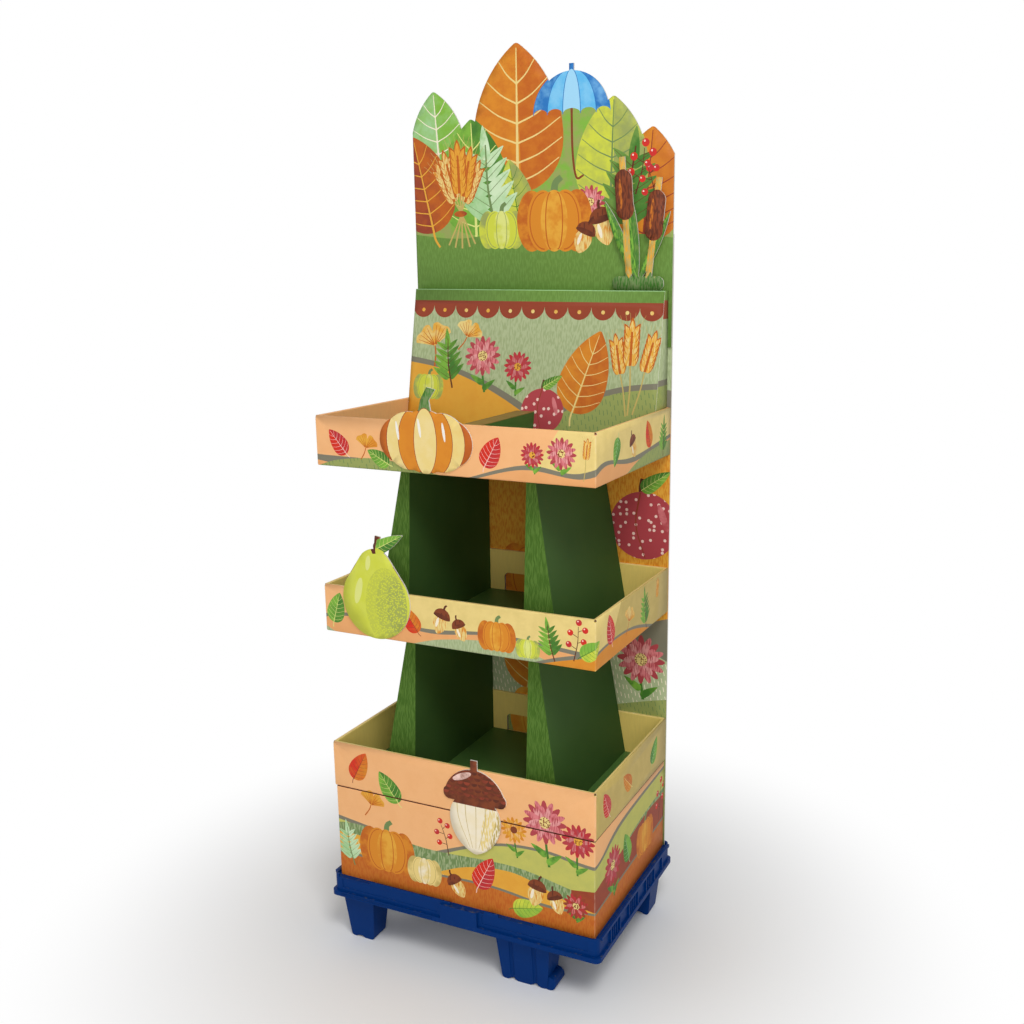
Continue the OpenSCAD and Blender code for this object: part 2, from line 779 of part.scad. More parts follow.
// Foam pads between the header and its raised piece, one behind the foot and one behind a head
module header_spacers() {
    head = reed_heads[0];
    turn = head[2];
    reach = head[1] * reed_w - reed_head_h / 2;
    spots = [[0, 0, 0], [head[0] * reed_w - reach * sin(turn), reach * cos(turn), turn]];
    color([0.95, 0.95, 0.92])
        for (s = spots)
            translate([reed_x + s[0], header_y - pad_t, riser_top + reed_z + s[1]]) rotate([0, -s[2], 0])
                translate([-pad_side / 2, 0, -pad_side / 2]) cube([pad_side, pad_t, pad_side]);
}

pallet();
plinth();
plinth_rib_long();
plinth_rib_cross(-1);  // plinth_rib_left
plinth_rib_cross(1);  // plinth_rib_right
tray(plinth_top);  // bottom_tray
tray(middle_z);  // middle_tray
tray(top_z);  // top_tray
liner(plinth_top, true);  // bottom_liner
liner(middle_z, true);  // middle_liner
liner(top_z, false);  // top_liner
upright(plinth_top, -1);  // lower_left_upright
upright(plinth_top, 1);  // lower_right_upright
upright(middle_z, -1);  // upper_left_upright
upright(middle_z, 1);  // upper_right_upright
top_divider();
top_riser();
rear_wall();
header();
header_cutout();
header_spacers();
top_tray_cutout();
middle_tray_cutout();
plinth_cutout();
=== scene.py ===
"""Printed cardboard display stand on a plastic quarter pallet: prints, finishes, light and camera.

The boards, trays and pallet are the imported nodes. Each print is a thin sheet of paper that lies on
a board's face, cut into flat shapes of colour. Lengths are millimetres unless a name says otherwise.
"""
import math
from collections import Counter

import bpy
import numpy as np
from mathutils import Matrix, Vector
from mathutils.geometry import delaunay_2d_cdt


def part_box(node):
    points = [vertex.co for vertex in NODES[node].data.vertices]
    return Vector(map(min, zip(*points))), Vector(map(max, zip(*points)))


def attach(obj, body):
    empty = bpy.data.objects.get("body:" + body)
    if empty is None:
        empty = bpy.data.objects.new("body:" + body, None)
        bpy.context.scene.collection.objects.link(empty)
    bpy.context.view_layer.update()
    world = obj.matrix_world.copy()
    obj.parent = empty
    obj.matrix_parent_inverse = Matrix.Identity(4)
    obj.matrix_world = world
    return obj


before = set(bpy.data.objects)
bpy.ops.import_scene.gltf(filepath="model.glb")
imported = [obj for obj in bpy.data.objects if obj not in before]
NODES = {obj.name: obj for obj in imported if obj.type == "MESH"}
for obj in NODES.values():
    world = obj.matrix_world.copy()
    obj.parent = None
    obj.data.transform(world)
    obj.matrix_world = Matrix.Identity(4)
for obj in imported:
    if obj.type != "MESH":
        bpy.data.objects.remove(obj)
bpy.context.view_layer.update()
MM = 0.001
PAPER_T = 0.25
BOARD_T, FLUTE_PITCH, RIM_NOTCH = 3.5, 7.0, 3.2
HAND_HOLE_HALF, HAND_HOLE_FOOT, HAND_HOLE_TOP = 90.5, 4.0, 45.5
CROWN_DEPTH = 1.0
ACROSS, UP = (1, 0, 0), (0, 0, 1)

# Screen colours of the inks and the boards
INKS = {
    "peach": (243, 182, 125),
    "peach_shade": (232, 165, 106),
    "straw": (234, 208, 132),
    "khaki": (194, 170, 98),
    "lining": (240, 212, 118),
    "ochre": (228, 166, 62),
    "amber": (216, 136, 44),
    "rust": (190, 98, 36),
    "clay": (196, 112, 42),
    "brick": (147, 66, 46),
    "scarlet": (214, 52, 36),
    "crimson": (186, 52, 58),
    "plum": (176, 70, 76),
    "pink": (220, 126, 130),
    "blush": (246, 208, 196),
    "cream": (246, 234, 208),
    "paper": (240, 236, 226),
    "lime": (206, 212, 72),
    "lime_pale": (222, 226, 132),
    "pasture": (194, 191, 98),
    "leaf": (126, 178, 66),
    "leaf_dark": (70, 120, 48),
    "mint": (158, 202, 140),
    "mint_pale": (208, 230, 190),
    "meadow": (102, 136, 62),
    "meadow_pale": (110, 146, 69),
    "sage": (176, 188, 144),
    "sage_dark": (158, 172, 126),
    "olive": (150, 160, 92),
    "moss": (112, 136, 84),
    "slate": (126, 122, 104),
    "umber": (92, 48, 34),
    "walnut": (128, 66, 40),
    "sky": (96, 182, 232),
    "sky_pale": (158, 212, 242),
    "blue": (48, 116, 186),
}
# Patterns of small marks that a printed shape can carry
PLAIN, STREAKS, SPECKS, DASHES, DOTS, HATCH, WASH, FINE = range(8)


def linear(colour):
    """A screen colour as the linear colour that shaders take, with alpha."""
    parts = INKS[colour] if isinstance(colour, str) else colour
    return tuple((c / 255) ** 2.2 for c in parts) + (1.0,)


def between(a, b, share):
    """A screen colour on the way from one ink to another."""
    return tuple((1 - share) * p + share * q for p, q in zip(INKS[a], INKS[b]))


def soft(ink, mark):
    """Look of a shape: an ink with a faint wash towards another."""
    return ink, between(ink, mark, 0.2), WASH


# Looks of the fields that come back
SLATE = ("slate",)
SAGE = ("sage", "sage_dark", STREAKS)
OLIVE = ("olive", "moss", HATCH)
MEADOW = ("meadow", "meadow_pale", STREAKS)
PEACH = soft("peach", "peach_shade")
SHADED_PEACH = soft("peach_shade", "peach")
STRAW = soft("straw", "khaki")
KHAKI = soft("khaki", "straw")
OCHRE = soft("ochre", "amber")
BRICK = soft("brick", "walnut")


# Node writing


class Value:
    """A number or colour that varies over a surface. Arithmetic on it adds Math nodes."""

    def __init__(self, graph, socket):
        self.graph = graph
        self.socket = socket

    def math(self, operation, *rest):
        return self.graph.math(operation, self, *rest)

    def out(self, key):
        return Value(self.graph, self.socket.node.outputs[key])

    def __add__(self, other):
        return self.math("ADD", other)

    def __sub__(self, other):
        return self.math("SUBTRACT", other)

    def __rsub__(self, other):
        return self.graph.math("SUBTRACT", other, self)

    def __mul__(self, other):
        return self.math("MULTIPLY", other)

    def __truediv__(self, other):
        return self.math("DIVIDE", other)

    def __abs__(self):
        return self.math("ABSOLUTE")

    def __lt__(self, other):
        return self.math("LESS_THAN", other)

    def __gt__(self, other):
        return self.math("GREATER_THAN", other)

    __radd__ = __add__
    __rmul__ = __mul__


class Graph:
    """A node tree that is written in expressions."""

    def __init__(self, tree):
        self.tree = tree

    def node(self, kind, settings, inputs, output=0):
        made = self.tree.nodes.new(kind)
        for name, setting in settings.items():
            setattr(made, name, setting)
        for key, item in inputs.items():
            self.plug(made.inputs[key], item)
        return Value(self, made.outputs[output])

    def plug(self, socket, item):
        if isinstance(item, Value):
            self.tree.links.new(item.socket, socket)
        else:
            socket.default_value = item

    def math(self, operation, *values):
        return self.node("ShaderNodeMath", {"operation": operation}, dict(enumerate(values)))

    def split(self, vector):
        x = self.node("ShaderNodeSeparateXYZ", {}, {0: vector})
        return x, x.out(1), x.out(2)

    def join(self, x=0.0, y=0.0, z=0.0):
        return self.node("ShaderNodeCombineXYZ", {}, {0: x, 1: y, 2: z})

    def white_rays(self):
        """One for the rays that see the white room: from the camera, off gloss and through glass."""
        rays = ("Is Camera Ray", "Is Glossy Ray", "Is Transmission Ray")
        camera, glossy, through = (self.node("ShaderNodeLightPath", {}, {}, name) for name in rays)
        return camera.math("MAXIMUM", glossy).math("MAXIMUM", through)


class Finish(Graph):
    """A material and its node tree."""

    def __init__(self, name, roughness, specular):
        self.material = bpy.data.materials.new(name)
        self.material.use_nodes = True
        super().__init__(self.material.node_tree)
        self.shader = self.tree.nodes["Principled BSDF"]
        self.set("Roughness", roughness)
        self.set("Specular IOR Level", specular)

    def set(self, name, item):
        self.plug(self.shader.inputs[name], item)

    def mix(self, factor, a, b, blend="MIX"):
        settings = {"data_type": "RGBA", "blend_type": blend, "clamp_factor": True}
        return self.node("ShaderNodeMix", settings, {0: factor, 6: a, 7: b}, 2)

    def place(self):
        """Object coordinates, in metres."""
        return self.node("ShaderNodeTexCoord", {}, {}, "Object")

    def noise(self, vector, scale, detail=2.0, roughness=0.5):
        inputs = {"Vector": vector, "Scale": scale, "Detail": detail, "Roughness": roughness}
        return self.node("ShaderNodeTexNoise", {}, inputs)

    def fibre(self, vector, scales, detail=2.0, roughness=0.5):
        """Noise with a scale of its own along each axis."""
        drawn = self.node("ShaderNodeVectorMath", {"operation": "MULTIPLY"}, {0: vector, 1: scales})
        return self.noise(drawn, 1.0, detail, roughness)

    def ramp(self, value, low, high):
        """Zero up to low, one from high, and a smooth rise between."""
        settings = {"interpolation_type": "SMOOTHSTEP", "clamp": True}
        return self.node("ShaderNodeMapRange", settings, {"Value": value, 1: low, 2: high})

    def attribute(self, name, output):
        return self.node("ShaderNodeAttribute", {"attribute_name": name}, {}, output)

    def facing(self):
        """The face's own normal, as three values."""
        return self.split(self.node("ShaderNodeNewGeometry", {}, {}, "True Normal"))

    def bump(self, height, strength, distance):
        inputs = {"Height": height, "Strength": strength, "Distance": distance}
        self.set("Normal", self.node("ShaderNodeBump", {}, inputs))

    def paint(self, colour, shade):
        """Base colour times a shade near one, which darkens or lightens it."""
        self.set("Base Color", self.mix(1.0, colour, self.join(shade, shade, shade), "MULTIPLY"))


# Patterns of the print


def dashes(finish, u, v, pitch, run, half_width, half_length):
    """Short upright strokes in columns, each column shifted by chance."""
    column = (u / pitch).math("FLOOR")
    shift = finish.node("ShaderNodeTexWhiteNoise", {"noise_dimensions": "1D"}, {"W": column})
    across = abs((u / pitch).math("FRACT") - 0.5) * pitch
    along = abs((v / run + shift).math("FRACT") - 0.5) * run
    return (across < half_width) * (along < half_length)


def spots(finish, flat, scale, radius, share):
    """Round or ragged spots, in the given share of the cells."""
    inputs = {"Vector": flat, "Scale": scale}
    cell = finish.node("ShaderNodeTexVoronoi", {"voronoi_dimensions": "2D"}, inputs)
    chance = finish.node("ShaderNodeSeparateColor", {}, {0: cell.out("Color")})
    return (cell < radius) * (chance < share)


def print_marks(finish, flat):
    """How much of the mark's ink lies at a point, by the pattern of the shape there."""
    u, v, _ = finish.split(flat)
    lean = u + v * 0.22
    wave = finish.fibre(flat, (330.0, 70.0, 1.0), 1.0)
    drift = finish.noise(flat, 34.0, 3.0, 0.6)
    fine = finish.fibre(flat, (520.0, 60.0, 1.0))
    masks = {
        STREAKS: finish.ramp(wave, 0.44, 0.6),
        SPECKS: spots(finish, flat, 290.0, 0.42, 0.62),
        DASHES: dashes(finish, u, v, 0.0098, 0.021, 0.0011, 0.0055),
        DOTS: spots(finish, flat, 62.0, 0.2, 0.62),
        HATCH: dashes(finish, lean, v, 0.0085, 0.02, 0.0008, 0.005),
        WASH: finish.ramp(drift, 0.36, 0.68),
        FINE: finish.ramp(fine, 0.46, 0.62),
    }
    pattern = finish.attribute("pattern", "Fac")
    return sum((pattern.math("COMPARE", float(key), 0.5) * mask for key, mask in masks.items()), 0.0)


def printed_paper(name, fold_m=None):
    """Offset print on coated paper. Where the sheet is folded, the ink is paled towards cream in patches
    along the fold.
    """
    finish = Finish(name, 0.55, 0.2)
    flat = finish.node("ShaderNodeUVMap", {"uv_map": "flat"}, {})
    marks = print_marks(finish, flat)
    colour = finish.mix(marks, finish.attribute("ink", "Color"), finish.attribute("mark", "Color"))
    grain = finish.noise(flat, 900.0)
    if fold_m:
        u, _, _ = finish.split(flat)
        near = 1.0 - finish.ramp(abs(abs(u) - fold_m), 0.0004, 0.0022)
        # Along the fold the colour is paled towards cream in noise patches.
        paled_at_fold = near * finish.ramp(finish.noise(flat, 60.0, 3.0), 0.3, 0.7) * 0.18
        colour = finish.mix(paled_at_fold, colour, linear("cream"))
    finish.paint(colour, grain * 0.1 + 0.95)
    weave = finish.fibre(flat, (420.0, 60.0, 1.0))
    finish.bump(weave, 0.12, 0.0006)
    return finish.material


# Finishes of the boards and the pallet


def white_board():
    """Uncoated white board, with the core's flutes showing faintly through as upright lines."""
    finish = Finish("white_board", 0.8, 0.2)
    place = finish.place()
    x, _, _ = finish.split(place)
    flutes = (x * (2 * math.pi / (FLUTE_PITCH * MM))).math("SINE")
    cloud = finish.noise(place, 9.0, 3.0)
    colour = finish.mix(cloud, (0.8, 0.77, 0.7, 1), (0.68, 0.64, 0.55, 1))
    finish.paint(colour, flutes * 0.018 + 0.98)
    finish.bump(flutes, 0.25, 0.0004)
    return finish.material


def kraft_board():
    """Plain brown board of the plinth and its ribs."""
    finish = Finish("kraft_board", 0.85, 0.15)
    place = finish.place()
    fibre = finish.fibre(place, (180.0, 180.0, 30.0), 3.0)
    finish.set("Base Color", finish.mix(fibre, (0.42, 0.27, 0.14, 1), (0.56, 0.4, 0.24, 1)))
    finish.bump(fibre, 0.15, 0.0005)
    return finish.material


def tray_board(node, inner, rim):
    """Printed tray: one plain ink inside, another on the rim with patches paled towards cream, raw board
    where the hand hole is cut, and painted shade in the rim's corner notches.
    """
    low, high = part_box(node)
    finish = Finish(node + "_board", 0.55, 0.2)
    place = finish.place()
    x, y, z = finish.split(place)
    _, _, up = finish.facing()
    from_middle = abs(x)
    core = (high.y - y) / (BOARD_T * MM)
    height = (z - low.z) / MM
    in_hole = (from_middle < HAND_HOLE_HALF * MM) * (height > HAND_HOLE_FOOT) * (height < HAND_HOLE_TOP)
    cut = in_hole * (core > 0.1) * (core < 1.9)
    ply = finish.ramp(abs(core.math("FRACT") - 0.5), 0.25, 0.4)
    raw = finish.mix(ply, linear("umber"), linear("paper"))
    # Painted shade: the faces of the rim's small corner notches are painted dark umber, for the shade inside
    # these holes.
    depth = (RIM_NOTCH + 0.2) * MM
    notch = (from_middle > high.x - depth) * (abs(y) > high.y - depth) * (z > high.z - depth)
    fibre = finish.fibre(place, (260.0, 260.0, 40.0))
    on_rim = finish.ramp(up, 0.3, 0.7)
    colour = finish.mix(on_rim, linear(inner), linear(rim))
    # The rim's colour is paled towards cream in noise patches.
    paled_rim_patches = finish.ramp(finish.noise(place, 45.0, 4.0), 0.58, 0.72) * on_rim * 0.4
    printed = finish.mix(cut, finish.mix(paled_rim_patches, colour, linear("cream")), raw)
    finish.paint(finish.mix(notch * 0.85, printed, linear("umber")), fibre * 0.14 + 0.92)
    finish.bump(fibre, 0.12, 0.0005)
    return finish.material


def bark_board():
    """Green uprights: a pale green bark print on the front face, plain dark green on the other faces."""
    finish = Finish("bark_board", 0.5, 0.05)
    place = finish.place()
    x, _, z = finish.split(place)
    _, back, _ = finish.facing()
    sway = finish.fibre(place, (60.0, 60.0, 80.0), 1.0)
    wave = finish.noise(finish.join(x * 390.0 + sway * 3.0, 0.0, z * 42.0), 1.0, 1.0)
    bark = finish.ramp(wave, 0.42, 0.6)
    front = finish.mix(bark, (0.06, 0.135, 0.019, 1), (0.098, 0.192, 0.034, 1))
    cloud = finish.noise(place, 7.0, 3.0)
    side = finish.mix(cloud, (0.034, 0.082, 0.019, 1), (0.054, 0.116, 0.028, 1))
    is_front = back < -0.6
    finish.set("Base Color", finish.mix(is_front, side, front))
    finish.bump(bark * is_front + cloud * 0.2, 0.2, 0.0006)
    return finish.material


def green_liner():
    """Dark green coated sheets on the tray floors."""
    finish = Finish("green_liner", 0.4, 0.25)
    place = finish.place()
    cloud = finish.noise(place, 11.0, 3.0)
    finish.set("Base Color", finish.mix(cloud, (0.064, 0.15, 0.036, 1), (0.088, 0.195, 0.048, 1)))
    finish.set("Roughness", cloud * 0.2 + 0.3)
    finish.bump(finish.noise(place, 420.0), 0.08, 0.0004)
    return finish.material


def divider_board():
    """Divider: brown crown, green sides and foot."""
    finish = Finish("divider_board", 0.5, 0.2)
    place = finish.place()
    _, _, height = finish.split(place)
    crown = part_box("top_divider")[1].z - CROWN_DEPTH * MM
    grain = finish.fibre(place, (240.0, 30.0, 240.0))
    top = finish.mix(grain, (0.2, 0.13, 0.03, 1), (0.3, 0.2, 0.05, 1))
    side = finish.mix(grain, (0.045, 0.13, 0.025, 1), (0.06, 0.165, 0.034, 1))
    finish.set("Base Color", finish.mix(height > crown, side, top))
    finish.bump(grain, 0.1, 0.0004)
    return finish.material


def riser_board():
    """Riser's own faces: green on the top flap, white board where its edges are cut."""
    finish = Finish("riser_board", 0.6, 0.3)
    place = finish.place()
    _, _, up = finish.facing()
    grain = finish.noise(place, 300.0)
    green = finish.mix(grain, (0.1, 0.24, 0.045, 1), (0.14, 0.3, 0.06, 1))
    finish.set("Base Color", finish.mix(up > 0.6, (0.7, 0.66, 0.57, 1), green))
    finish.bump(grain, 0.1, 0.0004)
    return finish.material


def foam_pad():
    """White closed-cell foam tape."""
    finish = Finish("foam_pad", 0.9, 0.15)
    place = finish.place()
    cells = finish.node("ShaderNodeTexVoronoi", {}, {"Vector": place, "Scale": 900.0})
    finish.set("Base Color", finish.mix(cells, (0.62, 0.62, 0.58, 1), (0.86, 0.86, 0.82, 1)))
    finish.bump(cells, 0.4, 0.0005)
    return finish.material


def pallet_plastic():
    """Blue moulded plastic: fine texture, dull scuffs, and dust that lies on what looks up."""
    finish = Finish("pallet_plastic", 0.45, 0.06)
    place = finish.place()
    _, _, up = finish.facing()
    cloud = finish.noise(place, 12.0, 4.0, 0.6)
    scuff = finish.ramp(finish.fibre(place, (38.0, 38.0, 150.0), 5.0, 0.65), 0.6, 0.72)
    dust = finish.ramp(finish.noise(place, 70.0, 5.0, 0.7), 0.52, 0.68) * finish.ramp(up, 0.4, 0.8)
    blue = finish.mix(cloud, (0.0004, 0.026, 0.145, 1), (0.0008, 0.033, 0.172, 1))
    blue = finish.mix(scuff * 0.12, blue, (0.04, 0.1, 0.26, 1))
    finish.set("Base Color", finish.mix(dust * 0.65, blue, (0.1, 0.1, 0.07, 1)))
    finish.set("Roughness", scuff * 0.2 + dust * 0.2 + 0.4)
    finish.bump(finish.noise(place, 650.0), 0.1, 0.0004)
    return finish.material


# Flat shapes, each an array of points in millimetres


def moved(points, x, y, turn=0.0):
    """Points turned by degrees and moved."""
    a = math.radians(turn)
    spin = np.array([[math.cos(a), math.sin(a)], [-math.sin(a), math.cos(a)]])
    return np.asarray(points) @ spin + (x, y)


def block(left, foot, right, top):
    return np.array([(left, foot), (right, foot), (right, top), (left, top)])


def ellipse(rx, ry, n=32, start=0.0, end=360.0):
    a = np.radians(np.linspace(start, end, n, endpoint=abs(end - start) < 360))
    return np.column_stack([rx * np.cos(a), ry * np.sin(a)])


def arc(cx, cy, r, start, end, n):
    return ellipse(r, r, n, start, end) + (cx, cy)


def leaf_shape(w, h, tip=0.05):
    """Upright leaf from its foot at the origin: round base, two long arcs and a small round tip."""
    n = 14
    tip_r = tip * w
    slack = w / 2 - tip_r
    tip_y = h - w / 2 - tip_r
    side_x = (tip_y ** 2 - slack ** 2) / (2 * slack)
    side_r = side_x + w / 2
    lean = math.degrees(math.atan2(tip_y, side_x))
    return np.vstack([
        arc(0, w / 2, w / 2, 180, 360, n + 6),
        arc(-side_x, w / 2, side_r, 0, lean, n)[1:],
        arc(0, w / 2 + tip_y, tip_r, lean, 180 - lean, n)[1:],
        arc(side_x, w / 2, side_r, 180 - lean, 180, n)[1:-1],
    ])


def curve(points, steps=8):
    """Smooth line through the points."""
    p = np.asarray(points, float)
    p = np.vstack([2 * p[0] - p[1], p, 2 * p[-1] - p[-2]])
    t = np.linspace(0, 1, steps, endpoint=False)[:, None]
    runs = [
        0.5 * (2 * b + (c - a) * t + (2 * a - 5 * b + 4 * c - d) * t ** 2 + (3 * b - a - 3 * c + d) * t ** 3)
        for a, b, c, d in zip(p, p[1:], p[2:], p[3:])
    ]
    return np.vstack([*runs, p[-2:-1]])


def stroke(points, start_w, end_w):
    """Outline of a line that changes width evenly from its start to its end."""
    p = np.asarray(points, float)
    along = np.gradient(p, axis=0)
    side = np.column_stack([-along[:, 1], along[:, 0]])
    side /= np.linalg.norm(side, axis=1)[:, None]
    half = np.linspace(start_w, end_w, len(p))[:, None] / 2
    return np.vstack([p + side * half, (p - side * half)[::-1]])


def hill(points, floor):
    """Ground under a smooth line, down to the floor."""
    top = curve(points)
    return np.vstack([top, (top[-1, 0], floor), (top[0, 0], floor)])


def inside(points, loop):
    """Which points lie in a closed loop, by counting the edges on their right."""
    x, y = points.T
    within = np.zeros(len(points), bool)
    for (x0, y0), (x1, y1) in zip(loop, np.roll(loop, -1, axis=0)):
        if y0 != y1:
            crossed = (y0 > y) != (y1 > y)
            within ^= crossed & (x < (x1 - x0) * (y - y0) / (y1 - y0) + x0)
    return within


# Places of the sheets on the boards


class Face:
    """A flat face: an origin, two directions and the way it looks."""

    def __init__(self, origin, across, up):
        self.origin = np.array(origin, float)
        self.axes = np.array([across, up], float)
        self.normal = np.cross(*self.axes)
        self.seams = []

    def lay(self, flat):
        return self.origin + flat @ self.axes, np.tile(self.normal, (len(flat), 1))


class Front(Face):
    """A board's front face, with its corners in millimetres."""

    def __init__(self, node):
        self.node = node
        self.low, self.high = (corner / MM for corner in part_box(node))
        self.middle = (self.low.x + self.high.x) / 2
        self.width = self.high.x - self.low.x
        super().__init__((0, self.low.y, 0), ACROSS, UP)

    def sheet(self, x, y, *ground):
        """A sheet for the face, which counts from a point at x and y above the board's foot."""
        outline = face_loops(self.node, (0, -1, 0), ACROSS, UP)
        return Sheet(self.node + "_print", outline, (x, self.low.z + y), ground)


class Band:
    """The sides and the front of a folded box as one flat band, with u running on round the corners."""

    def __init__(self, node, fold, foot_r, rim_r, notch=0.0):
        low, high = (np.array(corner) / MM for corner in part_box(node))
        self.node = node
        self.base = low[2]
        self.half = high[0]
        self.front = low[1]
        self.fold = fold
        self.lips = (low[2] + foot_r, foot_r), (high[2] - rim_r, rim_r)
        self.foot = self.lips[0][0] - foot_r * math.pi / 2
        self.rim = self.lips[1][0] + rim_r * math.pi / 2
        self.end = self.half + (high[1] - low[1]) - fold
        self.notch = notch
        self.seams = self.fold_lines()

    def fold_lines(self):
        bends = [s * (self.half + self.fold * k / 2) for s in (-1, 1) for k in range(-2, 3)]
        lines = [[(u, self.foot), (u, self.rim)] for u in bends]
        for (start, r), way in zip(self.lips, (-1, 1)):
            for k in range(4):
                v = start + way * r * math.pi / 2 * k / 3
                lines.append([(-self.end, v), (self.end, v)])
        return lines

    def outline(self):
        top = self.rim
        low = self.lips[1][0] - self.notch
        right = [(self.end, self.foot), (self.end, top)]
        if self.notch:
            wide, slim = self.half + self.notch, self.half - self.notch
            right += [(wide, top), (wide, low), (slim, low), (slim, top)]
        right = np.array(right)
        return [np.vstack([right, (right * (-1, 1))[::-1]])]

    def sheet(self, base, *ground):
        """A sheet for the band, which counts heights from the base."""
        return Sheet(self.node + "_print", self.outline(), (0, base), ground)

    def lay(self, flat):
        u, v = flat.T
        side = np.sign(u)
        reach = np.abs(u)
        turn = np.clip((reach - self.half + self.fold) / (2 * self.fold), 0, 1) * math.pi / 2
        x = np.minimum(reach, self.half - self.fold) + self.fold * np.sin(turn)
        y = self.front + self.fold * (1 - np.cos(turn)) + np.maximum(reach - self.half - self.fold, 0)
        normal = np.column_stack([side * np.sin(turn), -np.cos(turn), np.zeros(len(u))])
        place = np.column_stack([side * x, y, v])
        for (start, r), way in zip(self.lips, (-1, 1)):
            lift = np.clip((v - start) * way / max(r, 1e-6), 0, math.pi / 2)
            over = lift > 0
            place[over] -= normal[over] * (r * (1 - np.cos(lift[over])))[:, None]
            place[over, 2] = start + way * r * np.sin(lift[over])
            normal[over] *= np.cos(lift[over])[:, None]
            normal[over, 2] = way * np.sin(lift[over])
        return place, normal


def face_loops(node, normal, across, up):
    """Outlines of a node's outermost face that looks along normal, in the face's own directions."""
    mesh = NODES[node].data
    corners = np.array([v.co for v in mesh.vertices])[np.array([p.vertices for p in mesh.polygons])] / MM
    looks = np.cross(corners[:, 1] - corners[:, 0], corners[:, 2] - corners[:, 0])
    looks /= np.maximum(np.linalg.norm(looks, axis=1), 1e-9)[:, None]
    depth = (corners @ np.array(normal)).min(axis=1)
    facing = looks @ np.array(normal) > 0.999
    chosen = corners[facing & (depth > depth[facing].max() - 0.01)]
    flat = np.round(chosen @ np.array([across, up]).T, 3)
    after = {}
    edges = Counter((tuple(t[i]), tuple(t[(i + 1) % 3])) for t in flat for i in range(3))
    for (a, b), count in sorted(edges.items()):
        for _ in range(count - edges[b, a]):
            after.setdefault(a, []).append(b)
    loops = []
    while any(after.values()):
        loop = [next(a for a, ends in after.items() if ends)]
        while after.get(loop[-1]):
            loop.append(after[loop[-1]].pop())
        loops.append(np.array(loop[:-1]))
    return loops


def added(name, data):
    """A new object in the scene."""
    made = bpy.data.objects.new(name, data)
    bpy.context.scene.collection.objects.link(made)
    return made


def inked(ink, mark=None, pattern=PLAIN):
    """A look as the values that the print's material reads."""
    return linear(ink), linear(mark or ink), float(pattern)


class Sheet:
    """A printed sheet: an outline, and shapes of ink laid one over the other."""

    def __init__(self, name, outline, origin, ground):
        self.name = name
        self.outline = outline
        self.origin = origin
        self.shapes = []
        self.ground = inked(*ground)

    def lay(self, points, *look):
        self.shapes.append((np.asarray(points) + self.origin, inked(*look)))

    def fields(self, table, floor):
        """Lay the ground under each line of the table."""
        for line, look in table:
            self.lay(hill(line, floor), *look)

    def strew(self, table):
        """Lay motifs: each row gives a place, a turn, a motif and what the motif takes."""
        for x, y, turn, motif, *facts in table:
            for points, *look in motif(*facts):
                self.lay(moved(points, x, y, turn), *look)

    def triangles(self, seams):
        """The sheet cut along every shape: points, triangles and each triangle's topmost shape."""
        points, edges = [], []
        for loop in self.outline + [loop for loop, _ in self.shapes]:
            ids = range(len(points), len(points) + len(loop))
            edges += zip(ids, [*ids[1:], ids[0]])
            points += [Vector(p) for p in loop]
        for a, b in seams:
            edges.append((len(points), len(points) + 1))
            points += [Vector(a), Vector(b)]
        found = delaunay_2d_cdt(points, edges, [], 0, 1e-4)
        flat = np.array([tuple(p) for p in found[0]])
        faces = np.array(found[2])
        middle = flat[faces].mean(axis=1)
        kept = np.zeros(len(middle), bool)
        for loop in self.outline:
            kept ^= inside(middle, loop)
        faces, middle = faces[kept], middle[kept]
        topmost = np.full(len(faces), -1)
        for i, (loop, _) in enumerate(self.shapes):
            near = np.flatnonzero(((middle > loop.min(axis=0)) & (middle < loop.max(axis=0))).all(axis=1))
            topmost[near[inside(middle[near], loop)]] = i
        return flat, faces, topmost

    def build(self, place, material, slot):
        """A closed sheet of paper thickness on its place, with its inks as attributes."""
        flat, faces, topmost = self.triangles(place.seams)
        used, faces = np.unique(faces, return_inverse=True)
        flat, faces = flat[used], faces.reshape(-1, 3)
        ground, normal = place.lay(flat)
        count = len(flat)
        edges = {(a, b) for f in faces.tolist() for a, b in zip(f, f[1:] + f[:1])}
        rim = [(a, b) for a, b in sorted(edges) if (b, a) not in edges]
        walls = [(b, a, a + count, b + count) for a, b in rim]
        polygons = faces.tolist() + (faces[:, ::-1] + count).tolist() + walls
        mesh = bpy.data.meshes.new(self.name)
        mesh.from_pydata(np.vstack([ground + normal * PAPER_T, ground]) * MM, [], polygons)
        looks = [look for _, look in self.shapes] + [self.ground]
        chosen = [looks[i] for i in topmost] + [inked("paper")] * (len(polygons) - len(faces))
        sizes = [len(p) for p in polygons]
        kinds = (("ink", "FLOAT_COLOR"), ("mark", "FLOAT_COLOR"), ("pattern", "FLOAT"))
        for part, (name, kind) in enumerate(kinds):
            layer = mesh.attributes.new(name, kind, "CORNER")
            corners = np.repeat(np.array([c[part] for c in chosen]), sizes, axis=0)
            layer.data.foreach_set("value" if kind == "FLOAT" else "color", corners.ravel())
        ids = np.concatenate([np.array(p) for p in polygons]) % count
        mesh.uv_layers.new(name="flat").data.foreach_set("uv", (flat[ids] * MM).ravel())
        mesh.polygons.foreach_set("use_smooth", [i < len(faces) for i in range(len(polygons))])
        mesh.materials.append(material)
        piece = added(self.name, mesh)
        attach(piece, "root")


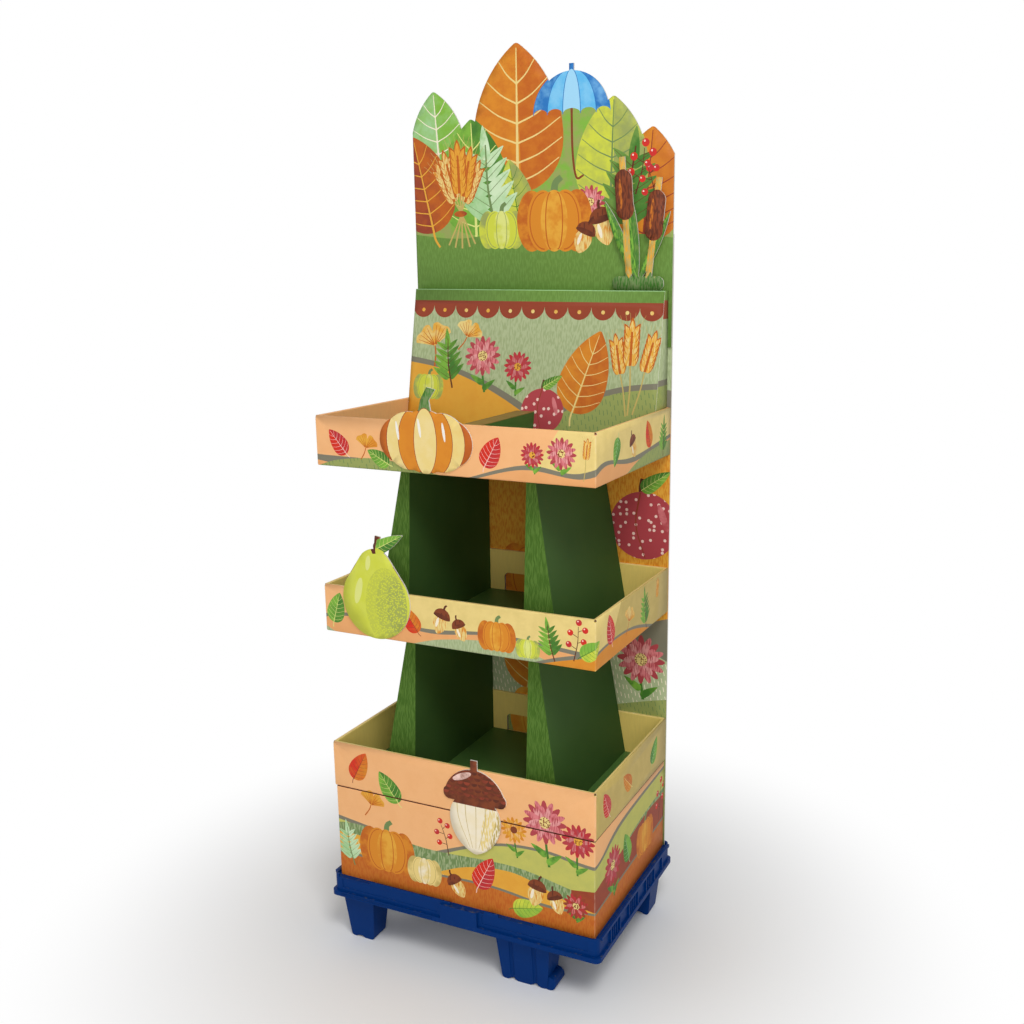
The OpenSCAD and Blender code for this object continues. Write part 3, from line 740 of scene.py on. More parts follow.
# Inks of motifs that come back
RED_LEAF = ("scarlet", "crimson", "blush")
GREEN_LEAF = ("leaf", "leaf_dark", "lime_pale")
DARK_LEAF = ("leaf_dark", "leaf", "mint")
PLUM_LEAF = ("leaf_dark", "leaf", "lime_pale")
FLAME_LEAF = ("scarlet", "amber", "brick")
RUSSET_LEAF = ("amber", "rust", "straw")
BROWN_LEAF = ("brick", "rust", "ochre")
FERN = ("leaf_dark", "leaf", "umber")
PALE_FERN = ("mint_pale", "mint", "moss")
PINK_ASTER = ("pink", "plum", "straw")
PLUM_ASTER = ("plum", "crimson", "ochre")
ORANGE_SQUASH = ("amber", "rust", "ochre")
GREEN_SQUASH = ("lime", "olive", "lime_pale")


# Motifs of the print: each gives its shapes from its foot at the origin, as points, ink, mark and pattern


def leaf(w, h, left, right, vein, stalk=0.16):
    """Pointed leaf in two tones, with a midrib and veins that run out to its edge."""
    body = leaf_shape(w, h)
    half = body[body[:, 0] >= -1e-6]
    thick = max(0.035 * w, 1.3)
    yield stroke(curve([(0.05 * w, -stalk * h), (0, -0.4 * stalk * h), (0, 0.06 * h)]), thick, thick), vein
    yield body, left, between(left, right, 0.45), WASH
    yield half, right, between(right, left, 0.45), WASH
    yield stroke([(0, 0), (0, 0.5 * h), (0, 0.95 * h)], thick, 0.3 * thick), vein
    for share in (0.07, 0.2, 0.33, 0.46, 0.59, 0.72):
        tip_y = (share + 0.16) * h
        reach = 0.97 * np.interp(tip_y, half[:, 1], half[:, 0])
        for side in (-1, 1):
            line = [(0, share * h), (0.5 * side * reach, (share + 0.06) * h), (side * reach, tip_y)]
            yield stroke(curve(line, 4), 0.5 * thick, 0.25 * thick), vein


def ginkgo(w, ink, mark):
    """Fan leaf on a long stalk, with a cleft in its wavy rim."""
    a = np.radians(np.linspace(22, 158, 69))
    cleft = 0.3 * np.exp(-((a - math.pi / 2) / 0.07) ** 2)
    reach = 0.56 * w * (1 + 0.035 * np.cos(10 * a) - cleft)
    fan = np.column_stack([reach * np.cos(a), reach * np.sin(a)])
    stalk = curve([(-0.12 * w, -0.5 * w), (-0.02 * w, -0.2 * w), (0, 0.06 * w)])
    yield stroke(stalk, 0.045 * w, 0.035 * w), "rust"
    yield np.vstack([(0, 0), fan]), ink, mark, WASH
    for turn in (-58, -44, -30, -16, 16, 30, 44, 58):
        rib = moved([(0, 0.04 * w), (0, 0.25 * w), (0, 0.5 * w)], 0, 0, turn)
        yield stroke(rib, 0.024 * w, 0.01 * w), "rust"


def aster(w, stem, petal, shade, heart):
    """Round flower with two rings of petals, on a leafy stem."""
    yield stroke(curve([(0.05 * w, 0), (0, 0.5 * stem), (0, stem)]), 0.06 * w, 0.05 * w), "leaf_dark"
    for side, share in ((-1, 0.08), (1, 0.24)):
        yield moved(leaf_shape(0.15 * w, 0.42 * w), 0, share * stem, 56 * side), "leaf_dark", "leaf", WASH
    pale = between(petal, "blush", 0.4)
    for count, reach, start, tones in ((16, 0.5, 0, (shade, petal)), (12, 0.37, 9, (petal, pale))):
        one = ellipse(0.075 * w, 0.5 * reach * w, 14) + (0, 0.5 * reach * w)
        for i in range(count):
            yield moved(one, 0, stem, 360 * i / count + start), tones[i % 2], shade, FINE
    yield ellipse(0.13 * w, 0.13 * w, 20) + (0, stem), heart, "walnut", SPECKS


def sprig(h, ink, mark, stem):
    """Upright sprig with pairs of slim leaves and one at its tip."""
    pairs = 5
    for i in range(pairs):
        y = (0.14 + 0.64 * i / pairs) * h
        size = (0.38 - 0.03 * i) * h
        for side, tone in ((-1, ink), (1, mark)):
            yield moved(leaf_shape(0.36 * size, size), 0, y, 54 * side), tone, between(ink, mark, 0.5), WASH
            rib = moved([(0, 0), (0, 0.45 * size), (0, 0.9 * size)], 0, y, 54 * side)
            yield stroke(rib, 0.007 * h, 0.003 * h), stem
    yield moved(leaf_shape(0.11 * h, 0.32 * h), 0.01 * h, 0.7 * h), ink, mark, WASH
    line = curve([(0.05 * h, -0.04 * h), (0, 0.4 * h), (0.02 * h, 0.84 * h)])
    yield stroke(line, 0.03 * h, 0.014 * h), stem


def wheat(h, ink="ochre", mark="straw"):
    """Ear of wheat: grains in pairs, with whiskers."""
    ear = 0.46 * h
    yield stroke(curve([(0, 0), (0.012 * h, 0.3 * h), (0, h - ear)]), 0.02 * h, 0.016 * h), "khaki"
    for turn in (-24, -14, -5, 5, 14, 24):
        whisker = moved([(0, 0), (0, 0.4 * ear), (0, 0.8 * ear)], 0, h - 0.55 * ear, turn)
        yield stroke(whisker, 0.007 * h, 0.003 * h), "khaki"
    rows = [(side, h - ear + 0.14 * ear * i) for i in range(6) for side in (-1, 1)]
    for side, y in [*rows, (0, h - 0.2 * ear)]:
        for size, look in ((1.25, ("rust",)), (1.0, (ink, mark, FINE))):
            grain = leaf_shape(0.13 * ear * size, 0.27 * ear * size)
            yield moved(grain, 0.035 * side * ear, y, -30 * side), *look
    yield stroke([(0, h - ear), (0, h - 0.6 * ear), (0, h - 0.2 * ear)], 0.07 * ear, 0.05 * ear), "rust"


def sheaf(h):
    """Sheaf of wheat that is tied below its middle."""
    tie = np.array((0, 0.34 * h))
    for turn, tall in ((-27, 0.86), (27, 0.88), (-14, 0.95), (15, 0.94), (0, 1.0)):
        for points, *look in wheat(tall * h, "straw" if turn % 2 else "ochre", "amber"):
            yield (moved(points - tie, *tie, turn), *look)
    yield ellipse(0.075 * h, 0.03 * h, 20) + tie, "brick", "rust", WASH


def squash(w, ink, shade, light):
    """Round squash in ribs, from the middle of its foot."""
    h = 0.72 * w
    yield stroke(curve([(0, 0.9 * h), (0.02 * w, 1.1 * h), (0.1 * w, 1.2 * h)]), 0.1 * w, 0.07 * w), "moss"
    ribs = ((-0.3, 0.4, shade), (0.3, 0.4, shade), (-0.15, 0.42, ink), (0.15, 0.42, ink), (0, 0.36, light))
    for share, wide, tone in ribs:
        yield ellipse(0.5 * wide * w, 0.5 * h) + (share * w, 0.5 * h), tone, ink, WASH
    for share in (-0.26, -0.09, 0.09, 0.26):
        a = np.linspace(0, math.pi, 17)
        line = np.column_stack([share * w * (0.5 + 0.75 * np.sin(a)), h * (0.5 - 0.46 * np.cos(a))])
        yield stroke(line, 0.016 * w, 0.012 * w), shade


def acorn(w):
    """Acorn that points down, from the middle of its cup."""
    yield moved(leaf_shape(0.84 * w, 1.1 * w, 0.15), 0, 0.1 * w, 180), "straw", "amber", FINE
    yield ellipse(0.08 * w, 0.28 * w, 16) + (-0.18 * w, -0.4 * w), "cream"
    yield ellipse(0.5 * w, 0.46 * w, 24, 0, 180), "walnut", "umber", DASHES
    yield ellipse(0.52 * w, 0.13 * w, 24), "umber", "walnut", WASH
    yield stroke([(0, 0.4 * w), (0.03 * w, 0.6 * w), (0.1 * w, 0.72 * w)], 0.12 * w, 0.1 * w), "umber"


def berries(h):
    """Sprig with round berries on side stalks."""
    yield stroke(curve([(0, 0), (0.04 * h, 0.5 * h), (0, 0.95 * h)]), 0.03 * h, 0.015 * h), "umber"
    for side, share in ((-1, 0.34), (1, 0.5), (-1, 0.66), (1, 0.82), (0, 0.98)):
        end = np.array((0.2 * side * h, (share + 0.08) * h))
        stalk = [(0.03 * h, share * h), (0.5 * end[0], end[1] - 0.03 * h), end]
        yield stroke(stalk, 0.018 * h, 0.014 * h), "umber"
        yield ellipse(0.085 * h, 0.085 * h, 20) + end, "scarlet", "crimson", WASH
        yield ellipse(0.022 * h, 0.022 * h, 10) + end + (-0.03 * h, 0.03 * h), "blush"


def plum(w):
    """Round fruit with a cleft and pale spots, and one leaf at its stalk."""
    stalk = curve([(0, 0.9 * w), (0.01 * w, 1.02 * w), (0.05 * w, 1.14 * w)])
    cleft = curve([(0, 0.95 * w), (-0.11 * w, 0.5 * w), (-0.02 * w, 0.02 * w)])
    yield stroke(stalk, 0.05 * w, 0.06 * w), "umber"
    yield ellipse(0.5 * w, 0.48 * w, 44) + (0, 0.48 * w), "plum", "blush", DOTS
    yield stroke(cleft, 0.024 * w, 0.012 * w), "brick"
    yield moved(ellipse(0.05 * w, 0.2 * w, 18), 0.3 * w, 0.58 * w, 14), "pink", "plum", WASH
    for points, *look in leaf(0.22 * w, 0.5 * w, *PLUM_LEAF, 0):
        yield (moved(points, 0.02 * w, 0.98 * w, -62), *look)


def umbrella(w):
    """Open umbrella from the middle of its hem: gores in three blues, a finial and a crooked handle."""
    r = w / 2
    yield stroke(curve([(0, 0.2 * r), (2, -0.9 * r), (10, -1.5 * r), (26, -1.46 * r)]), 5, 4), "walnut"
    yield block(-0.08, 0.5, 0.08, 1.4) * r, "blue"
    ribs = (-1.04, -0.66, -0.24, 0.24, 0.66, 1.04)
    for a, b, tone in zip(ribs, ribs[1:], ("blue", "sky", "sky_pale", "sky", "blue")):
        rise = ellipse(abs(a) * r, 1.04 * r, 16, 0, 90) * (np.sign(a), 1)
        fall = ellipse(abs(b) * r, 1.04 * r, 16, 90, 0) * (np.sign(b), 1)
        hem = ellipse((b - a) * r / 2, 0.13 * r, 12, 0, 180)[1:-1] + ((a + b) * r / 2, 0)
        yield np.vstack([rise, fall, hem]), tone, between(tone, "sky_pale", 0.5), WASH
        yield stroke(rise, 1.6, 1.2), "blue"


# Header: its skyline repeats the leaves and the umbrella of the board's outline

# Share of the half width, drop from the top and width, and for a leaf its tilt and inks
SKYLINE = (
    (-0.82, 81, 130, 4, "mint", "leaf", "cream"),
    (0.85, 171, 150, -5, "amber", "clay", "brick"),
    (-0.155, 0, 200, 0, *RUSSET_LEAF),
    (-0.52, 139, 160, 2, *GREEN_LEAF),
    (0.57, 111, 150, -2, "lime", "olive", "moss"),
)
UMBRELLA = (0.26, 59, 160)
LEAF_SLIM, SKY_FOOT, SKY_LAP = 1.42, 1.01, 1.03


def header_print():
    """Tall leaves and an umbrella along the skyline, and a harvest on the meadow below."""
    front = Front("header")
    half, height = front.high.x, front.high.z - front.low.z
    sheet = front.sheet(0, 0, "olive", "leaf", WASH)
    for share, drop, w, tilt, *inks in SKYLINE:
        h = LEAF_SLIM * w
        foot = moved([(0, -SKY_FOOT * h)], share * half, height - drop, tilt)[0]
        sheet.strew([(*foot, tilt, leaf, w * SKY_LAP, h * SKY_LAP, *inks)])
    share, drop, w = UMBRELLA
    sheet.strew([(share * half, height - drop - w / 2, 0, umbrella, w)])
    ground = [(-300, 224), (-190, 214), (-60, 224), (80, 212), (200, 220), (300, 210)]
    sheet.lay(hill(ground, -10), *MEADOW)
    harvest = (
        (-246, 226, 13, leaf, 140, 200, *BROWN_LEAF),
        (-40, 230, 10, leaf, 84, 140, "lime", "olive", "leaf_dark"),
        (-104, 220, 6, sprig, 214, *PALE_FERN),
        (190, 214, -6, sprig, 204, "leaf_dark", "meadow_pale", "umber"),
        (-178, 194, 2, sheaf, 206),
        (108, 210, -6, aster, 66, 72, *PINK_ASTER),
        (-84, 192, 0, squash, 106, *GREEN_SQUASH),
        (36, 186, 0, squash, 168, *ORANGE_SQUASH),
        (140, 248, 16, acorn, 52),
        (106, 224, -22, acorn, 44),
        (212, 294, -12, berries, 92),
        (254, 268, 12, berries, 80),
    )
    sheet.strew(harvest)
    sheet.build(front, PRINT, "printed_board")


# Riser: fields below a scalloped border


def riser_prints():
    """Leaning front panel, and the two returns beside it."""
    low, high = (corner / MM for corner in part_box("top_riser"))
    corners = np.array([v.co for v in NODES["top_riser"].data.vertices]) / MM
    top_y = corners[corners[:, 2] > high.z - 0.1][:, 1].min()
    rise = np.array([0, top_y - low.y, high.z - low.z])
    length = np.linalg.norm(rise)
    w = high.x
    sheet = Sheet("riser_print", [block(-w, 0, w, length)], (0, 0), SAGE)
    far, over = 320, length + 10
    fields = (
        ([(-far, 188), (-190, 166), (-70, 124), (40, 60), (90, -10)], SLATE),
        ([(-far, 176), (-190, 155), (-76, 112), (30, 50), (76, -10)], OCHRE),
        ([(-60, -10), (60, 80), (190, 132), (far, 150)], SLATE),
        ([(-40, -10), (66, 70), (192, 121), (far, 138)], OLIVE),
    )
    sheet.fields(fields, -12)
    scallop_w, border = 52, 292
    scallops = [arc(i * scallop_w, border, scallop_w / 2, 180, 360, 14) for i in range(-6, 7)]
    sheet.lay(np.vstack([*scallops, [(far, over), (-far, over)]]), *BRICK)
    for level, look in ((border + 10, MEADOW), (length - 1.4, ("mint",))):
        sheet.lay(block(-far, level, far, over), *look)
    for i in range(-5, 6):
        sheet.lay(ellipse(4, 4, 16) + (i * scallop_w, border - 10), "ochre", "straw", WASH)
    growth = (
        (-226, 206, 16, ginkgo, 86, "ochre", "straw"),
        (-150, 226, -22, ginkgo, 64, "straw", "ochre"),
        (-104, 112, 4, aster, 84, 76, *PINK_ASTER),
        (-30, 108, -4, aster, 64, 60, *PLUM_ASTER),
        (-184, 122, 8, sprig, 120, *FERN),
        (104, 80, -17, leaf, 106, 172, *RUSSET_LEAF),
        (220, 78, 12, wheat, 158),
        (224, 80, 1, wheat, 182),
        (234, 82, -13, wheat, 162),
        (40, 34, 4, plum, 96),
        (-236, 92, 0, squash, 74, *GREEN_SQUASH),
    )
    sheet.strew(growth)
    sheet.build(Face((0, low.y, low.z), ACROSS, rise / length), PRINT, "printed_board")
    for side, name in ((-1, "riser_left_print"), (1, "riser_right_print")):
        along = (0, side, 0)
        loops = face_loops("top_riser", (side, 0, 0), along, UP)
        return_sheet = Sheet(name, loops, (0, low.z), OLIVE)
        for level, look in ((136, SLATE), (148, SAGE), (266, BRICK), (302, MEADOW)):
            return_sheet.lay(block(-far, level, far, level + far), *look)
        return_sheet.build(Face((side * w, 0, 0), along, UP), PRINT, "printed_board")


def rear_wall_print():
    """Tall board behind the trays: amber ground, big fruit and leaves, and pale fields."""
    front = Front("rear_wall")
    sheet = front.sheet(0, 0, "ochre", "amber", STREAKS)
    fields = (
        ([(-300, 552), (-120, 512), (60, 552), (200, 502), (300, 522)], -10, SLATE),
        ([(-300, 462), (-100, 422), (100, 472), (220, 452), (300, 422)], -10, ("sage", "cream", HATCH)),
        ([(-300, 332), (0, 282), (300, 342)], -10, OLIVE),
        ([(-300, 1102), (-100, 1122), (120, 1108), (300, 1118)], 992, SAGE),
        ([(-300, 992), (0, 1022), (300, 998)], 942, SLATE),
    )
    for line, floor, look in fields:
        sheet.lay(hill(line, floor), *look)
    growth = (
        (60, 632, 8, leaf, 150, 230, *BROWN_LEAF),
        (242, 644, 6, plum, 150),
        (-40, 314, -10, leaf, 140, 220, *RUSSET_LEAF),
        (-226, 632, 4, sprig, 240, *PALE_FERN),
        (-210, 302, 0, aster, 130, 120, "plum", "crimson", "straw"),
        (232, 332, 0, aster, 110, 90, *PINK_ASTER),
        (10, 180, 0, squash, 190, "ochre", "amber", "straw"),
        (-10, 512, 0, squash, 190, *ORANGE_SQUASH),
    )
    sheet.strew(growth)
    sheet.build(front, PRINT, "printed_board")


# Trays and plinth: bands that run round three sides

# Radii of the folds, the start of the painted shadow above the plinth's rim lip, half widths, and how far
# round the fields run
TRAY_FOLD, TRAY_RIM = 3.0, 1.8
PLINTH_FOOT, PLINTH_RIM, PLINTH_SHADOW = 0.9, 5.0, 2.0
TRAY_CORNER, PLINTH_CORNER = 291, 289
SIDE_END = 700


def tray_band(node):
    return Band(node, TRAY_FOLD, TRAY_FOLD, TRAY_RIM, RIM_NOTCH)


def top_tray_print():
    band = tray_band("top_tray")
    foot, top, end = -9, 110, SIDE_END
    sheet = band.sheet(band.base, *PEACH)
    right = [(230, top), (150, foot), (end, foot), (end, top)]
    left = [(-end, foot), (-520, foot), (-560, top), (-end, top)]
    for field in (right, left):
        sheet.lay(field, *STRAW)
    fields = (
        ([(-end, 36), (-480, 44), (-330, 24), (-180, 20)], SLATE),
        ([(-end, 26), (-500, 36), (-340, 18), (-150, foot)], SHADED_PEACH),
        ([(10, foot), (150, 30), (250, 22), (330, 40), (470, 28), (end, 46)], SLATE),
        ([(26, foot), (150, 22), (260, 13), (340, 32), (480, 18), (end, 40)], SHADED_PEACH),
        ([(-310, foot), (-240, 14), (-130, 20), (20, foot)], OLIVE),
        ([(400, foot), (520, 22), (end, 34)], OLIVE),
    )
    sheet.fields(fields, foot)
    growth = (
        (-222, 26, 40, leaf, 36, 58, *RED_LEAF),
        (-178, 40, -14, ginkgo, 48, "ochre", "amber"),
        (-128, 12, 62, leaf, 30, 52, *GREEN_LEAF),
        (74, 22, -28, leaf, 40, 62, *RED_LEAF),
        (172, 16, 4, aster, 46, 34, *PLUM_ASTER),
        (224, 18, -3, aster, 58, 38, *PINK_ASTER),
        (268, 10, -6, wheat, 72),
        (392, 74, 160, leaf, 32, 54, *DARK_LEAF),
        (462, 56, 24, acorn, 32),
        (556, 34, 20, leaf, 36, 56, *FLAME_LEAF),
        (624, 8, -6, sprig, 78, *FERN),
        (-420, 12, 4, sprig, 76, "lime", "olive", "moss"),
        (-600, 46, -24, ginkgo, 50, "amber", "ochre"),
    )
    sheet.strew(growth)
    sheet.build(band, TRAY_PRINT, "tray_board")


def middle_tray_print():
    band = tray_band("middle_tray")
    foot, top, end = -9, 110, SIDE_END
    sheet = band.sheet(band.base, *STRAW)
    left = [(-end, foot), (-150, foot), (-110, top), (-end, top)]
    right = [(330, foot), (420, top), (end, top), (end, foot)]
    sheet.lay(left, *PEACH)
    sheet.lay(right, *KHAKI)
    fields = (
        ([(-330, 30), (-200, 46), (-60, 34), (90, 44), (300, 30)], SLATE),
        ([(-340, 22), (-190, 40), (-50, 26), (90, 38), (310, 20)], SHADED_PEACH),
        ([(-120, foot), (-20, 18), (120, 26), (240, foot)], SAGE),
        ([(140, foot), (230, 20), (330, 36), (470, 30), (620, foot)], SLATE),
        ([(152, foot), (236, 14), (330, 31), (460, 26), (600, foot)], soft("amber", "ochre")),
        ([(-end, 10), (-480, 36), (-330, 24), (-250, foot)], SAGE),
    )
    sheet.fields(fields, foot)
    growth = (
        (-272, 20, -16, leaf, 40, 64, *GREEN_LEAF),
        (-78, 24, 34, leaf, 36, 58, *FLAME_LEAF),
        (-24, 62, -18, acorn, 36),
        (12, 48, 22, acorn, 30),
        (92, 10, 0, squash, 80, *ORANGE_SQUASH),
        (156, 6, 0, squash, 50, *GREEN_SQUASH),
        (206, 10, 10, sprig, 80, *FERN),
        (248, 14, -8, berries, 70),
        (262, 24, -58, leaf, 34, 54, "leaf", "lime", "leaf_dark"),
        (366, 30, 14, leaf, 38, 60, "crimson", "scarlet", "blush"),
        (450, 46, -20, ginkgo, 52, "ochre", "straw"),
        (540, 8, 6, sprig, 84, *FERN),
        (600, 10, -6, wheat, 78),
        (-430, 14, 0, aster, 54, 42, *PINK_ASTER),
        (-580, 26, 40, leaf, 36, 58, *GREEN_LEAF),
    )
    sheet.strew(growth)
    sheet.build(band, TRAY_PRINT, "tray_board")


def base_prints():
    """Bottom tray and plinth: one picture that runs over both."""
    tray, box = tray_band("bottom_tray"), Band("plinth", TRAY_FOLD, PLINTH_FOOT, PLINTH_RIM)
    upper, lower = (band.sheet(box.base, *PEACH) for band in (tray, box))
    end = SIDE_END
    upper.lay(block(TRAY_CORNER + TRAY_FOLD, 192, end, 312), *KHAKI)
    fields = (
        ([(-end, 130), (-480, 162), (-330, 142), (-200, 124)], SLATE),
        ([(-end, 124), (-480, 156), (-330, 134), (-180, 112)], soft("pasture", "lime_pale")),
        ([(-110, 84), (60, 148), (180, 162), (300, 150), (420, 182), (end, 192)], SLATE),
        ([(-94, 80), (60, 142), (180, 156), (300, 143), (430, 174), (end, 186)], soft("pasture", "olive")),
        ([(-end, 112), (-420, 98), (-250, 124), (-80, 106), (120, 112), (300, 88), (500, 130), (end, 142)],
         ("moss", "sage_dark", STREAKS)),
        ([(240, 92), (400, 112), (560, 130), (end, 124)], soft("brick", "rust")),
        ([(-60, 58), (20, 88), (120, 98), (230, 66), (300, 52)], OCHRE),
        ([(-end, 88), (-440, 68), (-300, 98), (-180, 94), (-60, 62), (40, 50)], ("ochre", "straw", HATCH)),
        ([(-end, 62), (-500, 48), (-300, 58), (-120, 54), (60, 60), (190, 48), (300, 54), (end, 74)],
         soft("slate", "moss")),
        ([(-end, 56), (-500, 42), (-300, 52), (-120, 49), (60, 55), (190, 42), (300, 49), (end, 68)],
         ("clay", "rust", STREAKS)),
    )
    lower.fields(fields, -8)
    growth = (
        (124, 132, 4, aster, 56, 58, "ochre", "amber", "walnut"),
        (190, 128, 2, aster, 92, 92, *PINK_ASTER),
        (250, 124, -4, aster, 70, 72, *PLUM_ASTER),
        (-470, 124, 3, aster, 90, 90, *PINK_ASTER),
        (-570, 192, 12, ginkgo, 76, "amber", "ochre"),
        (-244, 226, -28, leaf, 42, 68, *FLAME_LEAF),
        (-140, 192, 34, leaf, 44, 74, *GREEN_LEAF),
        (-206, 174, -18, ginkgo, 58, "ochre", "amber"),
        (-258, 32, 8, sprig, 96, *PALE_FERN),
        (-172, 32, 0, squash, 132, *ORANGE_SQUASH),
        (-84, 26, 0, squash, 80, "straw", "khaki", "cream"),
        (-26, 102, 14, berries, 70),
        (38, 48, -26, leaf, 46, 78, *RED_LEAF),
        (116, 22, -76, leaf, 40, 66, "lime", "leaf", "leaf_dark"),
        (-14, 48, 34, acorn, 36),
        (168, 78, -12, acorn, 40),
        (206, 66, 20, acorn, 34),
        (250, 26, 0, aster, 54, 34, "crimson", "brick", "straw"),
        (380, 38, 3, aster, 82, 70, "plum", "crimson", "straw"),
        (462, 76, 20, leaf, 42, 70, *DARK_LEAF),
        (552, 46, 0, squash, 98, *ORANGE_SQUASH),
        (632, 78, -10, berries, 84),
        (356, 228, 26, leaf, 36, 58, *RED_LEAF),
        (470, 234, 48, leaf, 34, 56, *RUSSET_LEAF),
        (586, 230, -30, leaf, 36, 58, *DARK_LEAF),
    )
    for sheet in (upper, lower):
        sheet.strew(growth)
    # Painted shadow: a dark umber band over the plinth's rolled rim, from PLINTH_SHADOW above its lip, stands
    # for the shade in the groove under the bottom tray.
    shadow = box.lips[1][0] + PLINTH_SHADOW - box.base
    lower.lay(block(-end, shadow, end, box.rim - box.base + 1), "umber")
    upper.build(tray, TRAY_PRINT, "tray_board")
    lower.build(box, PLINTH_PRINT, "printed_board")


# Raised pieces: painted faces on the die-cut boards


def gourd_face():
    front = Front("top_tray_cutout")
    w = front.width
    lobe = 0.3 * w
    sheet = front.sheet(front.middle, lobe, "moss", "leaf_dark", STREAKS)
    ribs = (
        (-0.36, 0.34, 0.76, "rust", "amber"), (0.36, 0.34, 0.76, "rust", "brick"),
        (-0.24, 0.36, 0.92, "straw", "cream"), (0.24, 0.36, 0.92, "straw", "ochre"),
        (-0.12, 0.34, 1.0, "amber", "rust"), (0.12, 0.34, 1.0, "amber", "rust"),
        (0.0, 0.24, 1.04, "straw", "cream"),
    )
    for share, wide, tall, ink, mark in ribs:
        for edge, look in ((1.2, ("brick",)), (0, soft(ink, mark))):
            sheet.lay(ellipse(wide * w / 2 + edge, tall * lobe + edge) + (share * w, 0), *look)
    for share, lift in ((-0.3, 0.3), (-0.06, 0.42), (0.2, 0.34)):
        sheet.lay(moved(ellipse(0.014 * w, 0.3 * lobe), share * w, lift * lobe, 8), "paper")
    sheet.build(front, PRINT, "cutout_board")


# The pear and the acorn as their boards are cut
FRUIT_R, FRUIT_LIFT, FRUIT_NECK = 76.0, 0.84, 0.52
CUP_FLARE = 1.04


def fruit_face():
    front = Front("middle_tray_cutout")
    r = FRUIT_R
    sheet = front.sheet(front.low.x + r, r, "umber", "walnut", STREAKS)
    stalk = (FRUIT_LIFT + 0.95 * FRUIT_NECK) * r
    sheet.strew([(0, stalk, -62, leaf, 0.4 * r, 0.99 * r, *GREEN_LEAF, 0)])
    body = np.vstack([arc(0, 0, 1.03 * r, 160, 380, 40), arc(0, FRUIT_LIFT * r, 0.56 * r, 10, 170, 24)])
    sheet.lay(body, *soft("lime", "lime_pale"))
    for share, tone in ((0.3, 0.25), (0.46, 0.5), (0.62, 0.75)):
        side = ellipse((0.92 - share) * r, (1.3 - share) * r) + (share * r, -0.1 * r)
        sheet.lay(side, between("lime", "olive", tone), "lime", SPECKS)
    for wide, tall, x, y, turn in ((0.1, 0.36, -0.52, 0.22, -14), (0.07, 0.2, -0.2, 0.98, -10)):
        sheet.lay(moved(ellipse(wide * r, tall * r), x * r, y * r, turn), "lime_pale")
    line = curve([(0, 1.24 * r), (-0.02 * r, 1.4 * r), (0.06 * r, 1.8 * r)])
    sheet.lay(stroke(line, 0.1 * r, 0.18 * r), "umber")
    sheet.build(front, PRINT, "cutout_board")


def nut_face():
    front = Front("plinth_cutout")
    w = front.width / CUP_FLARE
    sheet = front.sheet(front.middle, 0.93 * w, *soft("cream", "straw"))
    for share, tone in ((0.34, "khaki"), (0.24, "straw")):
        sheet.lay(moved(ellipse(0.1 * w, 0.5 * w), share * w, -0.36 * w, -14), tone, "cream", STREAKS)
    for share in (-0.3, -0.16, 0.02, 0.18):
        line = curve(np.array([(share, 0), (0.9 * share, -0.4), (0.3 * share, -0.84)]) * w)
        sheet.lay(stroke(line, 1.6, 0.8), "khaki")
    sheet.lay(block(-0.6, -0.16, 0.6, 1.04) * w, "walnut", "umber", WASH)
    for row in range(5):
        for i in range(-4, 5):
            at = ((i + 0.5 * (row % 2)) * 0.12 * w, (0.02 + row * 0.09) * w)
            sheet.lay(ellipse(0.055 * w, 0.05 * w, 14, 180, 360) + at, "umber", "brick", WASH)
    sheet.lay(moved(ellipse(0.17 * w, 0.05 * w), -0.2 * w, 0.28 * w, 24), "blush", "walnut", WASH)
    sheet.build(front, PRINT, "cutout_board")


# The reeds as the board is cut, in widths of a head: shift, height, tilt, and tilt, width, height
REED_W, REED_X, REED_FOOT = 36.0, 222.0, 13.5
REED_HEADS = ((-0.5, 6.0, 4), (0.6, 4.9, -6))
REED_BLADES = ((24, 0.58, 4.8), (-26, 0.5, 4.2), (7, 0.66, 5.4))


def reed_face():
    front = Front("header_cutout")
    sheet = front.sheet(REED_X, REED_FOOT, "olive", "moss", STREAKS)
    w = REED_W
    for tilt, wide, tall in REED_BLADES:
        blade = np.array([(0, 0), (wide, 0.5 * tall), (0, tall), (-wide, 0.5 * tall)]) * w
        sheet.lay(moved(blade, 0, 0, tilt), "leaf", "leaf_dark", STREAKS)
        sheet.lay(moved(blade * (blade[:, :1] >= 0), 0, 0, tilt), "leaf_dark", "meadow", STREAKS)
    for shift, tall, tilt in REED_HEADS:
        stem = stroke([(0, -0.5), (0, 0.5 * tall), (0, tall + 0.9)], 0.38, 0.38)
        head = np.vstack([arc(0, tall - 0.5, 0.53, 0, 180, 16), arc(0, tall - 2.1, 0.53, 180, 360, 16)])
        shine = ellipse(0.09, 0.8) + (-0.2, tall - 1.25)
        for points, *inks in ((stem, "khaki", "ochre"), (head, "walnut", "umber"), (shine, "clay", "walnut")):
            sheet.lay(moved(points * w, shift * w, 0, tilt), *inks, STREAKS)
    blades = [(0.25 * i, 0.62 if i % 2 else 0.26) for i in range(-13, 14)]
    sheet.lay(np.array([(-3.25, -1), *blades, (3.25, -1)]) * w, "moss", "leaf_dark", STREAKS)
    sheet.build(front, PRINT, "cutout_board")


# Raw edge of the rear wall: the wavy core between the two papers

CORE_INSET, CORE_PAPERS, CORE_LIFT = 2.0, 1.2, 0.1


